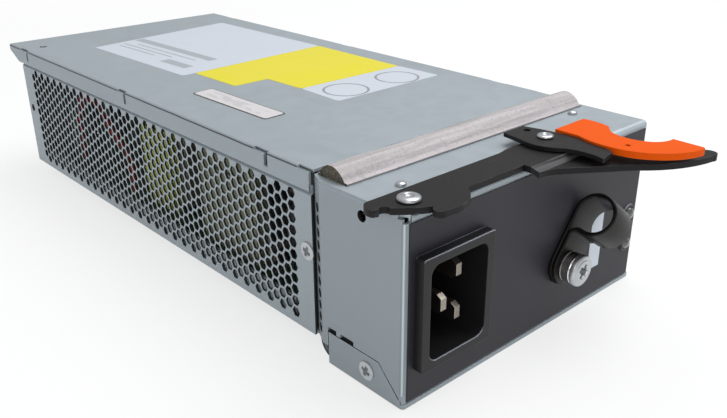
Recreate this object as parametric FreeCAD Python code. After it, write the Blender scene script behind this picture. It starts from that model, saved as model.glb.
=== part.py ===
import FreeCAD, Part
import math
import os

# Hot swap server power supply: a short front section with the mains inlet, the ejector lever and
# the cord clamp, and a longer ventilated main case behind it.
# Units are mm.  X runs to the right, Y to the rear, Z up.  Sketch depths are measured from the
# front face; every piece is then shifted so that the origin is the middle of the front underside.

V = FreeCAD.Vector

# ---- sheet and fits -------------------------------------------------------------------------
SHEET = 1.0              # galvanised case sheet
BASE_SHEET = 1.2         # front section's top and bottom plates
LAP = 0.1                # clearance between lapped sheets
GAP = 0.3                # clearance between pieces that move past each other
RUN_FIT = 0.05           # radial clearance of a shank in a turning hole

# ---- front section --------------------------------------------------------------------------
FRONT_STEP = 1.0         # its side walls stand this much outside the main case
FRONT_FLAT = 31.8        # depth of the flat side walls
TAPER_L = 4.4            # length of the tapered lead-in behind them
PLATE_TOP = 55.6         # top face of the front section
CORNER_R = 1.1           # upright front corners
NOSE = 2.2               # height of the top plate's turned-down front edge
FLANGE_L = 9.5           # inner flange that the main case is screwed to
ORIGIN_DEPTH = 15.0      # origin behind the front face

# ---- main case ------------------------------------------------------------------------------
MAIN_W = 107.0           # over the side panels
MAIN_FLOOR = 5.5         # underside of the main case
MAIN_FRONT = 36.6        # front edge of its sheets
MAIN_L = 201.4           # length of the main case
LID_TOP = 56.8           # top of the cover
LID_FLANGE = 6.5         # height of the cover's side flanges
JOGGLE = 0.9             # height over which a side panel steps in behind the cover's flange
LID_LIP = 12.0           # overhang of the cover behind the rear panel
LEG_W = 1.8              # width of the reliefs in its flanges
FLOOR_FLANGE = 8.0       # upturned edges of the floor
EAR_L = 9.0              # screw ears of the rear panel

# ---- perforation ----------------------------------------------------------------------------
GRILLE_PITCH = 7.4       # hole centres
GRILLE_HOLE = 5.6        # across the flats of one hole
GRILLE_FRONT = 9.3       # first column behind the front edge of the panel
GRILLE_COLS = 29
GRILLE_ROWS = 5
GRILLE_LOW = 14.6        # height of the lowest hole
REAR_COLS = 9
REAR_ROWS = 3
REAR_LOW = 34.6
BAND_HOLE = 3.0          # row of small holes in the tapered band
BAND_PITCH = 3.75
BAND_COUNT = 11
BAND_HOLE_LOW = 9.4

# ---- mains inlet (16 A, turned on its side) --------------------------------------------------
INLET_IN = 17.1          # middle of the inlet from the left side wall
INLET_Z = 27.4
CAVITY_W = 21.6
CAVITY_H = 28.0
CAVITY_R = 3.0
CAVITY_DEPTH = 20.0
INLET_WALL = 1.4         # wall of the moulded body behind the panel
BEZEL_W = 26.8
BEZEL_H = 33.0
BEZEL_T = 3.4
INLET_FLOOR = 3.0
PIN_T = 2.0
PIN_H = 5.4
PIN_SPACING = 13.0       # line to neutral
PIN_OFFSET = 4.0         # of each row from the middle of the cavity
LINE_PIN_RECESS = 4.0
EARTH_PIN_RECESS = 1.8
PIN_TAIL = 6.0           # blade behind the moulded floor

# ---- ejector lever --------------------------------------------------------------------------
LEVER_T = 1.8
LEVER_REAR = 9.1         # depth of the arm's rear edge
LEVER_ARM = 10.3         # width of the arm
PIVOT_IN = 4.4           # pivot from the left side wall
PIVOT_Y = 3.0
PIVOT_SHANK_R = 2.0
PIVOT_HEAD_R = 3.1
PIVOT_HEAD_T = 1.1
PADDLE_DROP = 1.5        # the finger paddle lies this much below the arm
PADDLE_BEND = -3.4       # depth at which the arm bends down
PADDLE_SLOPE = 1.8       # depth taken by the bend

# ---- latch on the lever ---------------------------------------------------------------------
LATCH_T = 1.2
LATCH_OUT = 57.9         # latch pivot from the lever's pivot
LATCH_Y = 6.0
LATCH_SHANK_R = 1.4
LATCH_HEAD_R = 2.4
LATCH_HEAD_T = 0.8
GRIP_T = 1.9

# ---- cord clamp -----------------------------------------------------------------------------
CLAMP_X = 12.2
CLAMP_Z = 20.0
CLAMP_TILT = 37.0        # degrees from upright, towards the right
CLAMP_W = 12.7
STRAP_T = 1.2
LOOP_R = 5.5             # inside radius of the loop
LOOP_UP = 16.2           # screw to loop centre
COLLAR_T = 3.9           # sleeve between the strap and the screw's head
COLLAR_R = 4.7
CLAMP_SCREW_R = 2.5
CLAMP_HEAD_R = 4.9
CLAMP_HEAD_T = 2.0
STRAP_BEND = 2.4         # radius of the reverse bend at the loop's neck

# ---- front trim -----------------------------------------------------------------------------
OVERLAY_T = 0.35
OVERLAY_MARGIN = 1.6     # bare metal at each side of the black face
OVERLAY_LOW = 1.8
OVERLAY_HIGH = 53.3
LED_IN = 5.5             # lamps from the right side wall
LED_LOW = 14.5
LED_PITCH = 10.7
LED_R = 2.3
GASKET_W = 12.0
GASKET_H = 4.2
GASKET_REAR = 35.2
GASKET_IN = 2.5          # its ends from the side walls

# ---- fasteners ------------------------------------------------------------------------------
SCREW_HEAD_R = 2.8
SCREW_HEAD_T = 0.6
SCREW_R = 1.5
STUD_R = 1.5
STUD_H = 1.2
SCREW_L = 5.0
SIDE_SCREW = (38.9, 31.9)      # depth and height
FLANGE_SCREW = (13.5, 5.5)

# ---- inside ---------------------------------------------------------------------------------
BOARD_T = 1.6
STANDOFF_H = 4.0
BOARD_SIDE = 3.5         # its edges from the side panels
BOARD_AHEAD = 7.4        # its front edge behind the case's front edge
BOARD_BEHIND = 8.0       # its rear edge before the rear panel's outer face
SHIELD_T = 0.4

# ---- places worked out from the sizes above --------------------------------------------------
HALF_MAIN = MAIN_W / 2
HALF_FRONT = HALF_MAIN + FRONT_STEP
INLET_X = INLET_IN - HALF_FRONT
PIVOT_X = PIVOT_IN - HALF_FRONT
LATCH_X = PIVOT_X + LATCH_OUT
LED_X = HALF_FRONT - LED_IN
MAIN_INNER = HALF_MAIN - SHEET
FLANGE_OUT = MAIN_INNER - LAP
MAIN_REAR = MAIN_FRONT + MAIN_L
LID_UNDER = LID_TOP - SHEET
BAND_LOW = LID_TOP - LID_FLANGE
PLATE_UNDER = PLATE_TOP - BASE_SHEET
FRONT_BACK = FRONT_FLAT + TAPER_L
FLOOR_TOP = MAIN_FLOOR + SHEET
BOARD_LOW = FLOOR_TOP + STANDOFF_H
BOARD_TOP = BOARD_LOW + BOARD_T
HALF_BOARD = MAIN_INNER - BOARD_SIDE
BOARD_FRONT = MAIN_FRONT + BOARD_AHEAD
BOARD_REAR = MAIN_REAR - BOARD_BEHIND
LEVER_LOW = PLATE_TOP + GAP + 0.05
LEVER_TOP = LEVER_LOW + LEVER_T
LATCH_LOW = LEVER_TOP + GAP
LATCH_TOP = LATCH_LOW + LATCH_T
PADDLE_LOW = LEVER_LOW - PADDLE_DROP
PADDLE_TOP = LEVER_TOP - PADDLE_DROP


def box(x0, x1, y0, y1, z0, z1):
    return Part.makeBox(x1 - x0, y1 - y0, z1 - z0, V(x0, y0, z0))


def cylinder(centre, radius, length, axis=V(0, 0, 1)):
    return Part.makeCylinder(radius, length, V(*centre), axis)


def prism(centre, radius, length, sides, axis=V(0, 0, 1)):
    """Regular prism; the radius is to its corners."""
    turn = FreeCAD.Rotation(V(0, 0, 1), axis)
    corners = [V(*centre) + turn.multVec(V(radius * math.cos(math.radians(360 * k / sides)),
                                           radius * math.sin(math.radians(360 * k / sides)), 0))
               for k in range(sides)]
    return Part.Face(Part.makePolygon(corners + corners[:1])).extrude(axis * length)


def plan(points, z0, z1):
    """Prism on an outline given as (x, depth) points."""
    wire = Part.makePolygon([V(x, y, z0) for x, y in points + points[:1]])
    return Part.Face(wire).extrude(V(0, 0, z1 - z0))


def section(points, x0, x1):
    """Prism along X on an outline given as (depth, height) points."""
    wire = Part.makePolygon([V(x0, y, z) for y, z in points + points[:1]])
    return Part.Face(wire).extrude(V(x1 - x0, 0, 0))


def frontal(points, y0, y1):
    """Prism along Y on an outline given as (x, height) points."""
    wire = Part.makePolygon([V(x, y0, z) for x, z in points + points[:1]])
    return Part.Face(wire).extrude(V(0, y1 - y0, 0))


def lever_plan(start, stretches, z0, z1):
    """Prism on an outline of straight stretches (end,) and arcs (middle, end), x from the pivot."""
    edges = []
    here = V(PIVOT_X + start[0], start[1], z0)
    for stretch in stretches:
        there = V(PIVOT_X + stretch[-1][0], stretch[-1][1], z0)
        if len(stretch) == 2:
            middle = V(PIVOT_X + stretch[0][0], stretch[0][1], z0)
            edges.append(Part.Arc(here, middle, there).toShape())
        else:
            edges.append(Part.makeLine(here, there))
        here = there
    return Part.Face(Part.Wire(edges)).extrude(V(0, 0, z1 - z0))


def upright_edges(shape, corners, reach=0.2):
    """Edges that run along Z at the given (x, depth) corners."""
    found = []
    for edge in shape.Edges:
        a = edge.Vertexes[0].Point
        b = edge.Vertexes[-1].Point
        upright = abs(a.x - b.x) < 1e-6 and abs(a.y - b.y) < 1e-6 and abs(a.z - b.z) > 1e-6
        if upright and any(abs(a.x - x) < reach and abs(a.y - y) < reach for x, y in corners):
            found.append(edge)
    return found


def rounded_box(x0, x1, y0, y1, z0, z1, radius):
    """Box whose four edges along Y are rounded."""
    body = box(x0, x1, y0, y1, z0, z1)
    along = [e for e in body.Edges
             if abs(e.Vertexes[0].Point.y - e.Vertexes[-1].Point.y) > 1e-6]
    return body.makeFillet(radius, along)


def mirrored(shape):
    return shape.mirror(V(0, 0, 0), V(1, 0, 0))


def group(shapes):
    return Part.makeCompound(shapes)


def save(name, shape):
    shape = shape.copy()
    shape.translate(V(0, -ORIGIN_DEPTH, 0))
    shape.exportStep("parts/%s.step" % name)


# ---- perforation ----------------------------------------------------------------------------
def hex_field(columns, rows, pitch, low):
    """Centres of a staggered field: (distance along, height)."""
    step = pitch * math.cos(math.radians(30))
    return [(column * step, low + row * pitch + (pitch / 2 if column % 2 else 0))
            for column in range(columns)
            for row in range(rows - column % 2)]


# ---- main case ------------------------------------------------------------------------------
def side_profile(side):
    """Side panel with its inward joggle behind the cover's flange, seen along the case."""
    joggle = SHEET + LAP
    outer = [(HALF_MAIN, MAIN_FLOOR), (HALF_MAIN, BAND_LOW - LAP - JOGGLE),
             (HALF_MAIN - joggle, BAND_LOW - LAP), (HALF_MAIN - joggle, LID_UNDER - LAP)]
    inner = [(x - SHEET, z) for x, z in reversed(outer)]
    return [(side * x, z) for x, z in outer + inner]


def side_panel(side):
    panel = frontal(side_profile(side), MAIN_FRONT, MAIN_REAR)
    screw = cylinder((side * (HALF_MAIN - 3), SIDE_SCREW[0], SIDE_SCREW[1]), SCREW_R + RUN_FIT, 6,
                     V(side, 0, 0))
    spare = cylinder((side * (HALF_MAIN - 3), MAIN_REAR - 4, SIDE_SCREW[1] - 1), SCREW_R, 6,
                     V(side, 0, 0))
    return panel.cut(screw).cut(spare)


def side_grille():
    panel = side_panel(-1)
    holes = [prism((-HALF_MAIN - 1, MAIN_FRONT + GRILLE_FRONT + along, height),
                   GRILLE_HOLE / math.sqrt(3), SHEET + 2, 6, V(1, 0, 0))
             for along, height in hex_field(GRILLE_COLS, GRILLE_ROWS, GRILLE_PITCH, GRILLE_LOW)]
    return panel.cut(group(holes))


def case_floor():
    width = FLANGE_OUT
    tray = frontal([(-width, MAIN_FLOOR), (width, MAIN_FLOOR),
                    (width, MAIN_FLOOR + FLOOR_FLANGE), (width - SHEET, MAIN_FLOOR + FLOOR_FLANGE),
                    (width - SHEET, FLOOR_TOP), (SHEET - width, FLOOR_TOP),
                    (SHEET - width, MAIN_FLOOR + FLOOR_FLANGE),
                    (-width, MAIN_FLOOR + FLOOR_FLANGE)],
                   MAIN_FRONT + FLANGE_L + 1, MAIN_REAR - EAR_L - 1)
    plain = box(-width, width, MAIN_FRONT, MAIN_REAR, MAIN_FLOOR, FLOOR_TOP)
    return tray.fuse(plain).removeSplitter()


def lid_slot(depth, length, leg_at):
    """L-shaped relief beside one tab of the cover's flange."""
    along = box(-HALF_MAIN - 1, -MAIN_INNER + 0.02, depth, depth + length, LID_UNDER, LID_TOP + 1)
    leg = box(-HALF_MAIN - 1, -MAIN_INNER + 0.02, leg_at, leg_at + LEG_W, LID_UNDER - 3.6, LID_TOP + 1)
    return along.fuse(leg)


def top_cover():
    rear = MAIN_REAR + LID_LIP
    cover = frontal([(-HALF_MAIN, BAND_LOW), (-HALF_MAIN, LID_TOP), (HALF_MAIN, LID_TOP),
                     (HALF_MAIN, BAND_LOW), (HALF_MAIN - SHEET, BAND_LOW),
                     (HALF_MAIN - SHEET, LID_UNDER), (SHEET - HALF_MAIN, LID_UNDER),
                     (SHEET - HALF_MAIN, BAND_LOW)], MAIN_FRONT, rear)
    bends = [e for e in cover.Edges
             if abs(e.Vertexes[0].Point.z - LID_TOP) < 1e-6 and abs(e.Vertexes[-1].Point.z - LID_TOP) < 1e-6
             and abs(e.Vertexes[0].Point.x - e.Vertexes[-1].Point.x) < 1e-6]
    cover = cover.makeFillet(0.8, bends)
    corner = [(MAIN_REAR + 1.5, BAND_LOW - 1), (rear + 1, BAND_LOW - 1), (rear + 1, LID_UNDER - 1)]
    for x0, x1 in ((-HALF_MAIN - 1, -MAIN_INNER + 0.02), (MAIN_INNER - 0.02, HALF_MAIN + 1)):
        cover = cover.cut(section(corner, x0, x1))
    slots = group([])
    for depth, length, leg_at in ((MAIN_FRONT - 1, 6.6, MAIN_FRONT - 1), (56.0, 6.7, 56.0),
                                  (141.0, 6.0, 141.0), (MAIN_REAR - 8, 8.0, MAIN_REAR - 8)):
        slot = lid_slot(depth, length, leg_at)
        slots.add(slot)
        slots.add(mirrored(slot))
    hole = cylinder((8.5 - HALF_MAIN, MAIN_REAR - 4.7, LID_UNDER - 1), SCREW_R, 4)
    return cover.cut(slots).cut(hole)


def rear_panel():
    wide = FLANGE_OUT
    narrow = wide - SHEET - LAP
    step = BAND_LOW - JOGGLE - SHEET
    outline = [(-wide, FLOOR_TOP), (wide, FLOOR_TOP), (wide, step - JOGGLE), (narrow, step),
               (narrow, LID_UNDER), (-narrow, LID_UNDER), (-narrow, step), (-wide, step - JOGGLE)]
    wide_in = wide - SHEET
    panel = frontal(outline, MAIN_REAR - SHEET, MAIN_REAR)
    for side in (-1, 1):
        ear = box(min(side * wide, side * wide_in), max(side * wide, side * wide_in),
                  MAIN_REAR - EAR_L, MAIN_REAR, FLOOR_TOP + 2, step - JOGGLE)
        ear = ear.cut(cylinder((side * wide_in - side * 2, MAIN_REAR - 4, SIDE_SCREW[1] - 1),
                               SCREW_R - 0.3, 6, V(side, 0, 0)))
        panel = panel.fuse(ear)
    opening = box(SOCKET_X - SOCKET_W / 2 - LAP, SOCKET_X + SOCKET_W / 2 + LAP,
                  MAIN_REAR - SHEET - 1, MAIN_REAR + 1,
                  BOARD_TOP - 1, BOARD_TOP + SOCKET_H + LAP)
    centring = (REAR_COLS - 1) / 2 * GRILLE_PITCH * math.cos(math.radians(30))
    vents = [prism((along - centring, MAIN_REAR - SHEET - 1, height), GRILLE_HOLE / math.sqrt(3),
                   SHEET + 2, 6, V(0, 1, 0))
             for along, height in hex_field(REAR_COLS, REAR_ROWS, GRILLE_PITCH, REAR_LOW)]
    return panel.cut(opening).cut(group(vents)).removeSplitter()


# ---- front section --------------------------------------------------------------------------
def shell_outline(inset):
    """Plan of the front shell: front wall, side walls, tapered band and inner flanges."""
    side = HALF_FRONT - inset
    inner = FLANGE_OUT - inset
    back = MAIN_FRONT + FLANGE_L + (1 if inset else 0)
    shift = inset * math.tan(math.radians(12))
    half = [(side, inset), (side, FRONT_FLAT - shift), (inner, FRONT_BACK - shift), (inner, back)]
    return [(-x, y) for x, y in reversed(half)] + half


def flange_side(gap):
    """Outline of the bottom plate's side flange, grown by a gap: (depth, height)."""
    rear = FRONT_FLAT - 2.4 + gap
    return [(0.8 - gap, 0), (0.8 - gap, 1.9 + gap), (9.0 - gap * 0.4, 10.3 + gap), (rear, 10.3 + gap),
            (rear, 0)]


def front_shell():
    low = BASE_SHEET
    outer = plan(shell_outline(0), low, PLATE_UNDER)
    outer = outer.makeFillet(CORNER_R, upright_edges(outer, [(-HALF_FRONT, 0), (HALF_FRONT, 0)]))
    shell = outer.cut(plan(shell_outline(SHEET), low - 1, PLATE_UNDER + 1))
    beyond = HALF_FRONT + 1
    for side in (-1, 1):
        outside = min(side * beyond, side * (HALF_FRONT - SHEET)), max(side * beyond, side * (HALF_FRONT - SHEET))
        shell = shell.cut(section(flange_side(0.3), *outside))
        for notch in ((FRONT_FLAT - 5.8, FRONT_FLAT - 2.1), (FRONT_FLAT - 13.0, FRONT_FLAT - 7.4)):
            shell = shell.cut(box(*outside, notch[0], notch[1], 10.3, 12.0))
        tab_in = HALF_FRONT - 2 * SHEET
        tab_x = min(side * tab_in, side * (HALF_FRONT - SHEET)), max(side * tab_in, side * (HALF_FRONT - SHEET))
        tab = box(*tab_x, 7.5, FRONT_FLAT - 1.6, low, 14.0)
        shell = shell.fuse(tab)
        shell = shell.cut(cylinder((side * (tab_in - 1), FLANGE_SCREW[0], FLANGE_SCREW[1]),
                                   SCREW_R + RUN_FIT, 6, V(side, 0, 0)))
        shell = shell.cut(cylinder((side * (FLANGE_OUT - 3), SIDE_SCREW[0], SIDE_SCREW[1]),
                                   SCREW_R + RUN_FIT, 6, V(side, 0, 0)))
        rear_x = min(side * (FLANGE_OUT - 2), side * beyond), max(side * (FLANGE_OUT - 2), side * beyond)
        shell = shell.cut(box(*rear_x, FRONT_BACK, MAIN_FRONT + FLANGE_L + 1, 0, FLOOR_TOP + 0.6))
        shell = shell.cut(box(*rear_x, FRONT_BACK, MAIN_FRONT + FLANGE_L + 1, BAND_LOW - 2, LID_TOP))
        shell = shell.cut(box(*rear_x, FRONT_FLAT - 2.1, FRONT_BACK, 0, 5.6))
        # The holes are punched square to the tapered band.
        lean = math.atan2(HALF_FRONT - FLANGE_OUT, TAPER_L)
        middle = V(side * (HALF_FRONT + FLANGE_OUT) / 2, FRONT_FLAT + TAPER_L / 2, 0)
        normal = V(side * math.cos(lean), math.sin(lean), 0)
        punches = group([prism(middle - normal * 2 + V(0, 0, BAND_HOLE_LOW + k * BAND_PITCH),
                               BAND_HOLE / 2, 4, 8, normal)
                         for k in range(BAND_COUNT)])
        shell = shell.cut(punches)
    shell = shell.cut(box(-beyond, beyond, -1, SHEET, PLATE_TOP - NOSE, PLATE_TOP))
    side_hole = cylinder((-HALF_FRONT - 1, 15.1, 50.8), 1.6, 3, V(1, 0, 0))
    shell = shell.cut(side_hole)
    shell = shell.cut(inlet_cutout(-1, SHEET + 1)).cut(led_holes(-1, SHEET + 1))
    return shell.cut(cylinder((CLAMP_X, -1, CLAMP_Z), CLAMP_SCREW_R + RUN_FIT, SHEET + 2, V(0, 1, 0)))


def front_top_plate():
    profile = [(0, PLATE_TOP - NOSE), (0, PLATE_TOP), (FRONT_BACK - 0.2, PLATE_TOP),
               (FRONT_BACK - 0.2, PLATE_UNDER), (SHEET, PLATE_UNDER), (SHEET, PLATE_TOP - NOSE)]
    plate = section(profile, -HALF_FRONT, HALF_FRONT)
    bend = [e for e in plate.Edges
            if all(abs(v.Point.y) < 1e-6 and abs(v.Point.z - PLATE_TOP) < 1e-6 for v in e.Vertexes)]
    plate = plate.makeFillet(1.6, bend)
    side = [e for e in plate.Edges
            if all(abs(v.Point.x - HALF_FRONT) < 1e-6 and abs(v.Point.z - PLATE_TOP) < 1e-6
                   for v in e.Vertexes)]
    plate = plate.makeFillet(0.9, side)
    for side in (-1, 1):
        cut = plan([(side * HALF_FRONT, FRONT_FLAT), (side * (HALF_FRONT + 1), FRONT_FLAT),
                    (side * (HALF_FRONT + 1), FRONT_BACK + 1), (side * FLANGE_OUT, FRONT_BACK + 1),
                    (side * FLANGE_OUT, FRONT_BACK)], PLATE_UNDER - 1, PLATE_TOP + 1)
        plate = plate.cut(cut)
        ring = box(min(side * HALF_FRONT, side * (HALF_FRONT - CORNER_R)),
                   max(side * HALF_FRONT, side * (HALF_FRONT - CORNER_R)), 0, CORNER_R,
                   PLATE_UNDER - 2, PLATE_TOP + 1)
        round_ = cylinder((side * (HALF_FRONT - CORNER_R), CORNER_R, PLATE_UNDER - 2), CORNER_R, 6)
        plate = plate.cut(ring.cut(round_))
    notch = plan([(-HALF_FRONT - 1, -1), (-HALF_FRONT + 2.6, -1), (-HALF_FRONT + 2.6, 0.6),
                  (-HALF_FRONT + 0.9, 2.4), (-HALF_FRONT - 1, 2.4)], PLATE_UNDER - 2, PLATE_TOP + 1)
    plate = plate.cut(notch)
    return plate.cut(cylinder((PIVOT_X, PIVOT_Y, PLATE_UNDER - 1), PIVOT_SHANK_R, 5))


def front_bottom_plate():
    rise = MAIN_FLOOR - LAP
    back = FRONT_BACK - 0.9
    start = FRONT_FLAT - 2.4
    t = BASE_SHEET
    floor = box(-HALF_FRONT, HALF_FRONT, -OVERLAY_T, start, 0, t)
    outer = [V(0, start, 0), V(0, start + 4.6, 1.6), V(0, back, rise)]
    inner = [V(0, start, t), V(0, start + 4.0, 1.6 + t), V(0, back - t, rise)]
    rim = [Part.Arc(*outer).toShape(), Part.makeLine(outer[2], inner[2]),
           Part.Arc(*reversed(inner)).toShape(), Part.makeLine(inner[0], outer[0])]
    ramp = Part.Face(Part.Wire(rim)).extrude(V(2 * HALF_FRONT - 4, 0, 0))
    ramp.translate(V(2 - HALF_FRONT, 0, 0))
    plate = floor.fuse(ramp)
    edges = upright_edges(plate, [(-HALF_FRONT, -OVERLAY_T), (HALF_FRONT, -OVERLAY_T)])
    plate = plate.makeFillet(CORNER_R, edges)
    for side in (-1, 1):
        wall = (min(side * HALF_FRONT, side * (HALF_FRONT - SHEET)),
                max(side * HALF_FRONT, side * (HALF_FRONT - SHEET)))
        flange = section(flange_side(0), *wall)
        flange = flange.cut(section([(0, -1), (3.2, -1), (3.2, BASE_SHEET), (0, BASE_SHEET)], *wall))
        plate = plate.fuse(flange)
        plate = plate.cut(cylinder((side * (HALF_FRONT - 3), FLANGE_SCREW[0], FLANGE_SCREW[1]),
                                   SCREW_R + RUN_FIT, 6, V(side, 0, 0)))
    return plate.removeSplitter()


def inlet_cutout(y0, y1):
    half_w = CAVITY_W / 2 + INLET_WALL + LAP
    half_h = CAVITY_H / 2 + INLET_WALL + LAP
    return box(INLET_X - half_w, INLET_X + half_w, y0, y1, INLET_Z - half_h, INLET_Z + half_h)


def led_holes(y0, y1):
    return group([cylinder((LED_X, y0, LED_LOW + k * LED_PITCH), LED_R + RUN_FIT, y1 - y0, V(0, 1, 0))
                  for k in range(2)])


def face_overlay():
    half = HALF_FRONT - OVERLAY_MARGIN
    sheet = box(-half, half, -OVERLAY_T, 0, OVERLAY_LOW, OVERLAY_HIGH)
    sheet = sheet.cut(inlet_cutout(-1, 1)).cut(led_holes(-1, 1))
    return sheet.cut(cylinder((CLAMP_X, -1, CLAMP_Z), CLAMP_SCREW_R + RUN_FIT, 2, V(0, 1, 0)))


def emi_gasket():
    """Hat-shaped strip: a flat foot with a low dome."""
    front = GASKET_REAR - GASKET_W
    low = PLATE_TOP
    foot = 0.7
    x0 = GASKET_IN - HALF_FRONT
    start = V(x0, front, low)
    edges = [Part.makeLine(start, V(x0, front, low + foot)),
             Part.makeLine(V(x0, front, low + foot), V(x0, front + 1.5, low + foot)),
             Part.Arc(V(x0, front + 1.5, low + foot), V(x0, front + GASKET_W / 2, low + GASKET_H),
                      V(x0, GASKET_REAR - 1.5, low + foot)).toShape(),
             Part.makeLine(V(x0, GASKET_REAR - 1.5, low + foot), V(x0, GASKET_REAR, low + foot)),
             Part.makeLine(V(x0, GASKET_REAR, low + foot), V(x0, GASKET_REAR, low)),
             Part.makeLine(V(x0, GASKET_REAR, low), start)]
    return Part.Face(Part.Wire(edges)).extrude(V(-2 * x0, 0, 0))


# ---- mains inlet ----------------------------------------------------------------------------
def pin_places():
    """(x, z, recess) of line, neutral and earth."""
    return [(INLET_X + PIN_OFFSET, INLET_Z + PIN_SPACING / 2, LINE_PIN_RECESS),
            (INLET_X + PIN_OFFSET, INLET_Z - PIN_SPACING / 2, LINE_PIN_RECESS),
            (INLET_X - PIN_OFFSET, INLET_Z, EARTH_PIN_RECESS)]


def inlet_housing():
    half_w = CAVITY_W / 2
    half_h = CAVITY_H / 2
    front = -BEZEL_T
    back = front + CAVITY_DEPTH + INLET_FLOOR
    bezel = rounded_box(INLET_X - BEZEL_W / 2, INLET_X + BEZEL_W / 2, front, -OVERLAY_T,
                        INLET_Z - BEZEL_H / 2, INLET_Z + BEZEL_H / 2, 0.8)
    body = box(INLET_X - half_w - INLET_WALL, INLET_X + half_w + INLET_WALL, front, back,
               INLET_Z - half_h - INLET_WALL, INLET_Z + half_h + INLET_WALL)
    cavity = rounded_box(INLET_X - half_w, INLET_X + half_w, front - 1, front + CAVITY_DEPTH,
                         INLET_Z - half_h, INLET_Z + half_h, CAVITY_R)
    housing = bezel.fuse(body).cut(cavity)
    for x, z, _ in pin_places():
        housing = housing.cut(box(x - PIN_T / 2, x + PIN_T / 2, back - INLET_FLOOR - 1, back + 1,
                                  z - PIN_H / 2, z + PIN_H / 2))
    return housing.removeSplitter()


def inlet_pins():
    back = -BEZEL_T + CAVITY_DEPTH + INLET_FLOOR + PIN_TAIL
    pins = []
    for x, z, recess in pin_places():
        tip = -BEZEL_T + recess
        blade = section([(tip, z - PIN_H / 2 + 1.0), (tip + 1.6, z - PIN_H / 2), (back, z - PIN_H / 2),
                         (back, z + PIN_H / 2), (tip + 1.6, z + PIN_H / 2), (tip, z + PIN_H / 2 - 1.0)],
                        x - PIN_T / 2, x + PIN_T / 2)
        pins.append(blade)
    return group(pins)


# ---- cord clamp -----------------------------------------------------------------------------
def arc_band(y, z, inner, outer, start, sweep):
    """Curved stretch of strap round a centre; angles from +Y towards +Z."""
    half = CLAMP_W / 2
    direction = V(1, 0, 0)
    band = Part.makeCylinder(outer, CLAMP_W, V(-half, y, z), direction, sweep)
    band = band.cut(Part.makeCylinder(inner, CLAMP_W, V(-half, y, z), direction, sweep))
    # A cylinder about +X starts its sweep on an axis of its own, so turn it to the wanted start.
    reference = Part.makeCylinder(outer, 1, V(0, 0, 0), direction, 1.0).CenterOfMass
    begins = math.degrees(math.atan2(reference.z, reference.y)) - 0.5
    band.rotate(V(0, y, z), direction, start - begins)
    return band


def clamp_place(shape):
    shape = shape.copy()
    shape.rotate(V(0, 0, 0), V(0, 1, 0), CLAMP_TILT)
    shape.translate(V(CLAMP_X, 0, CLAMP_Z))
    return shape


def cord_clamp():
    half = CLAMP_W / 2
    back = -OVERLAY_T
    outer = LOOP_R + STRAP_T
    middle = LOOP_R + STRAP_T / 2
    centre_y = back - outer
    front_mid = back - STRAP_T - LAP - STRAP_T / 2
    bend_y = front_mid - STRAP_BEND
    rise = math.sqrt((middle + STRAP_BEND) ** 2 - (bend_y - centre_y) ** 2)
    bend_z = LOOP_UP - rise
    meet = math.degrees(math.atan2(bend_z - LOOP_UP, bend_y - centre_y))
    lower = box(-half, half, back - STRAP_T, back, 0, LOOP_UP)
    loop = arc_band(centre_y, LOOP_UP, LOOP_R, outer, 0, 360 + meet)
    neck = arc_band(bend_y, bend_z, STRAP_BEND - STRAP_T / 2, STRAP_BEND + STRAP_T / 2, 0, meet + 180)
    upper = box(-half, half, front_mid - STRAP_T / 2, front_mid + STRAP_T / 2, 0, bend_z)
    strap = lower.fuse([loop, neck, upper])
    for y in (back - STRAP_T, front_mid - STRAP_T / 2):
        strap = strap.fuse(cylinder((0, y, 0), half, STRAP_T, V(0, 1, 0)))
    strap = strap.cut(cylinder((0, -20, 0), CLAMP_SCREW_R + RUN_FIT, 20, V(0, 1, 0)))
    return clamp_place(strap.removeSplitter())


def clamp_front():
    """Front face of the stacked tabs."""
    return -OVERLAY_T - 2 * STRAP_T - LAP


def clamp_collar():
    """Sleeve on which the screw's head bears."""
    front = clamp_front() - COLLAR_T
    sleeve = cylinder((CLAMP_X, front, CLAMP_Z), COLLAR_R, COLLAR_T, V(0, 1, 0))
    return sleeve.cut(cylinder((CLAMP_X, front - 1, CLAMP_Z), CLAMP_SCREW_R + RUN_FIT, COLLAR_T + 2,
                               V(0, 1, 0)))


def clamp_screw():
    front = clamp_front() - COLLAR_T
    head = cylinder((CLAMP_X, front - CLAMP_HEAD_T, CLAMP_Z), CLAMP_HEAD_R, CLAMP_HEAD_T, V(0, 1, 0))
    rim = [e for e in head.Edges if abs(e.CenterOfMass.y - (front - CLAMP_HEAD_T)) < 1e-6]
    head = head.makeChamfer(0.6, rim)
    shank = cylinder((CLAMP_X, front - 1, CLAMP_Z), CLAMP_SCREW_R, 1 - front + SHEET + 5.5, V(0, 1, 0))
    slot = box(CLAMP_X - 0.5, CLAMP_X + 0.5, front - CLAMP_HEAD_T - 1, front - CLAMP_HEAD_T + 1.2,
               CLAMP_Z - 2.6, CLAMP_Z + 2.6)
    across = box(CLAMP_X - 2.6, CLAMP_X + 2.6, front - CLAMP_HEAD_T - 1, front - CLAMP_HEAD_T + 1.2,
                 CLAMP_Z - 0.5, CLAMP_Z + 0.5)
    return head.fuse(shank).cut(slot).cut(across)


def clamp_nut():
    nut = prism((CLAMP_X, SHEET, CLAMP_Z), 4.6, 4, 6, V(0, 1, 0))
    return nut.cut(cylinder((CLAMP_X, 0, CLAMP_Z), CLAMP_SCREW_R, 8, V(0, 1, 0)))


# ---- indicators -----------------------------------------------------------------------------
def led_lenses():
    lamps = []
    for k in range(2):
        z = LED_LOW + k * LED_PITCH
        barrel = cylinder((LED_X, 0, z), LED_R, 4.6, V(0, 1, 0))
        crown = Part.makeCone(LED_R, LED_R * 0.45, LED_R * 0.8, V(LED_X, 0, z), V(0, -1, 0))
        lamps.append(barrel.fuse(crown))
    return group(lamps)


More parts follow.
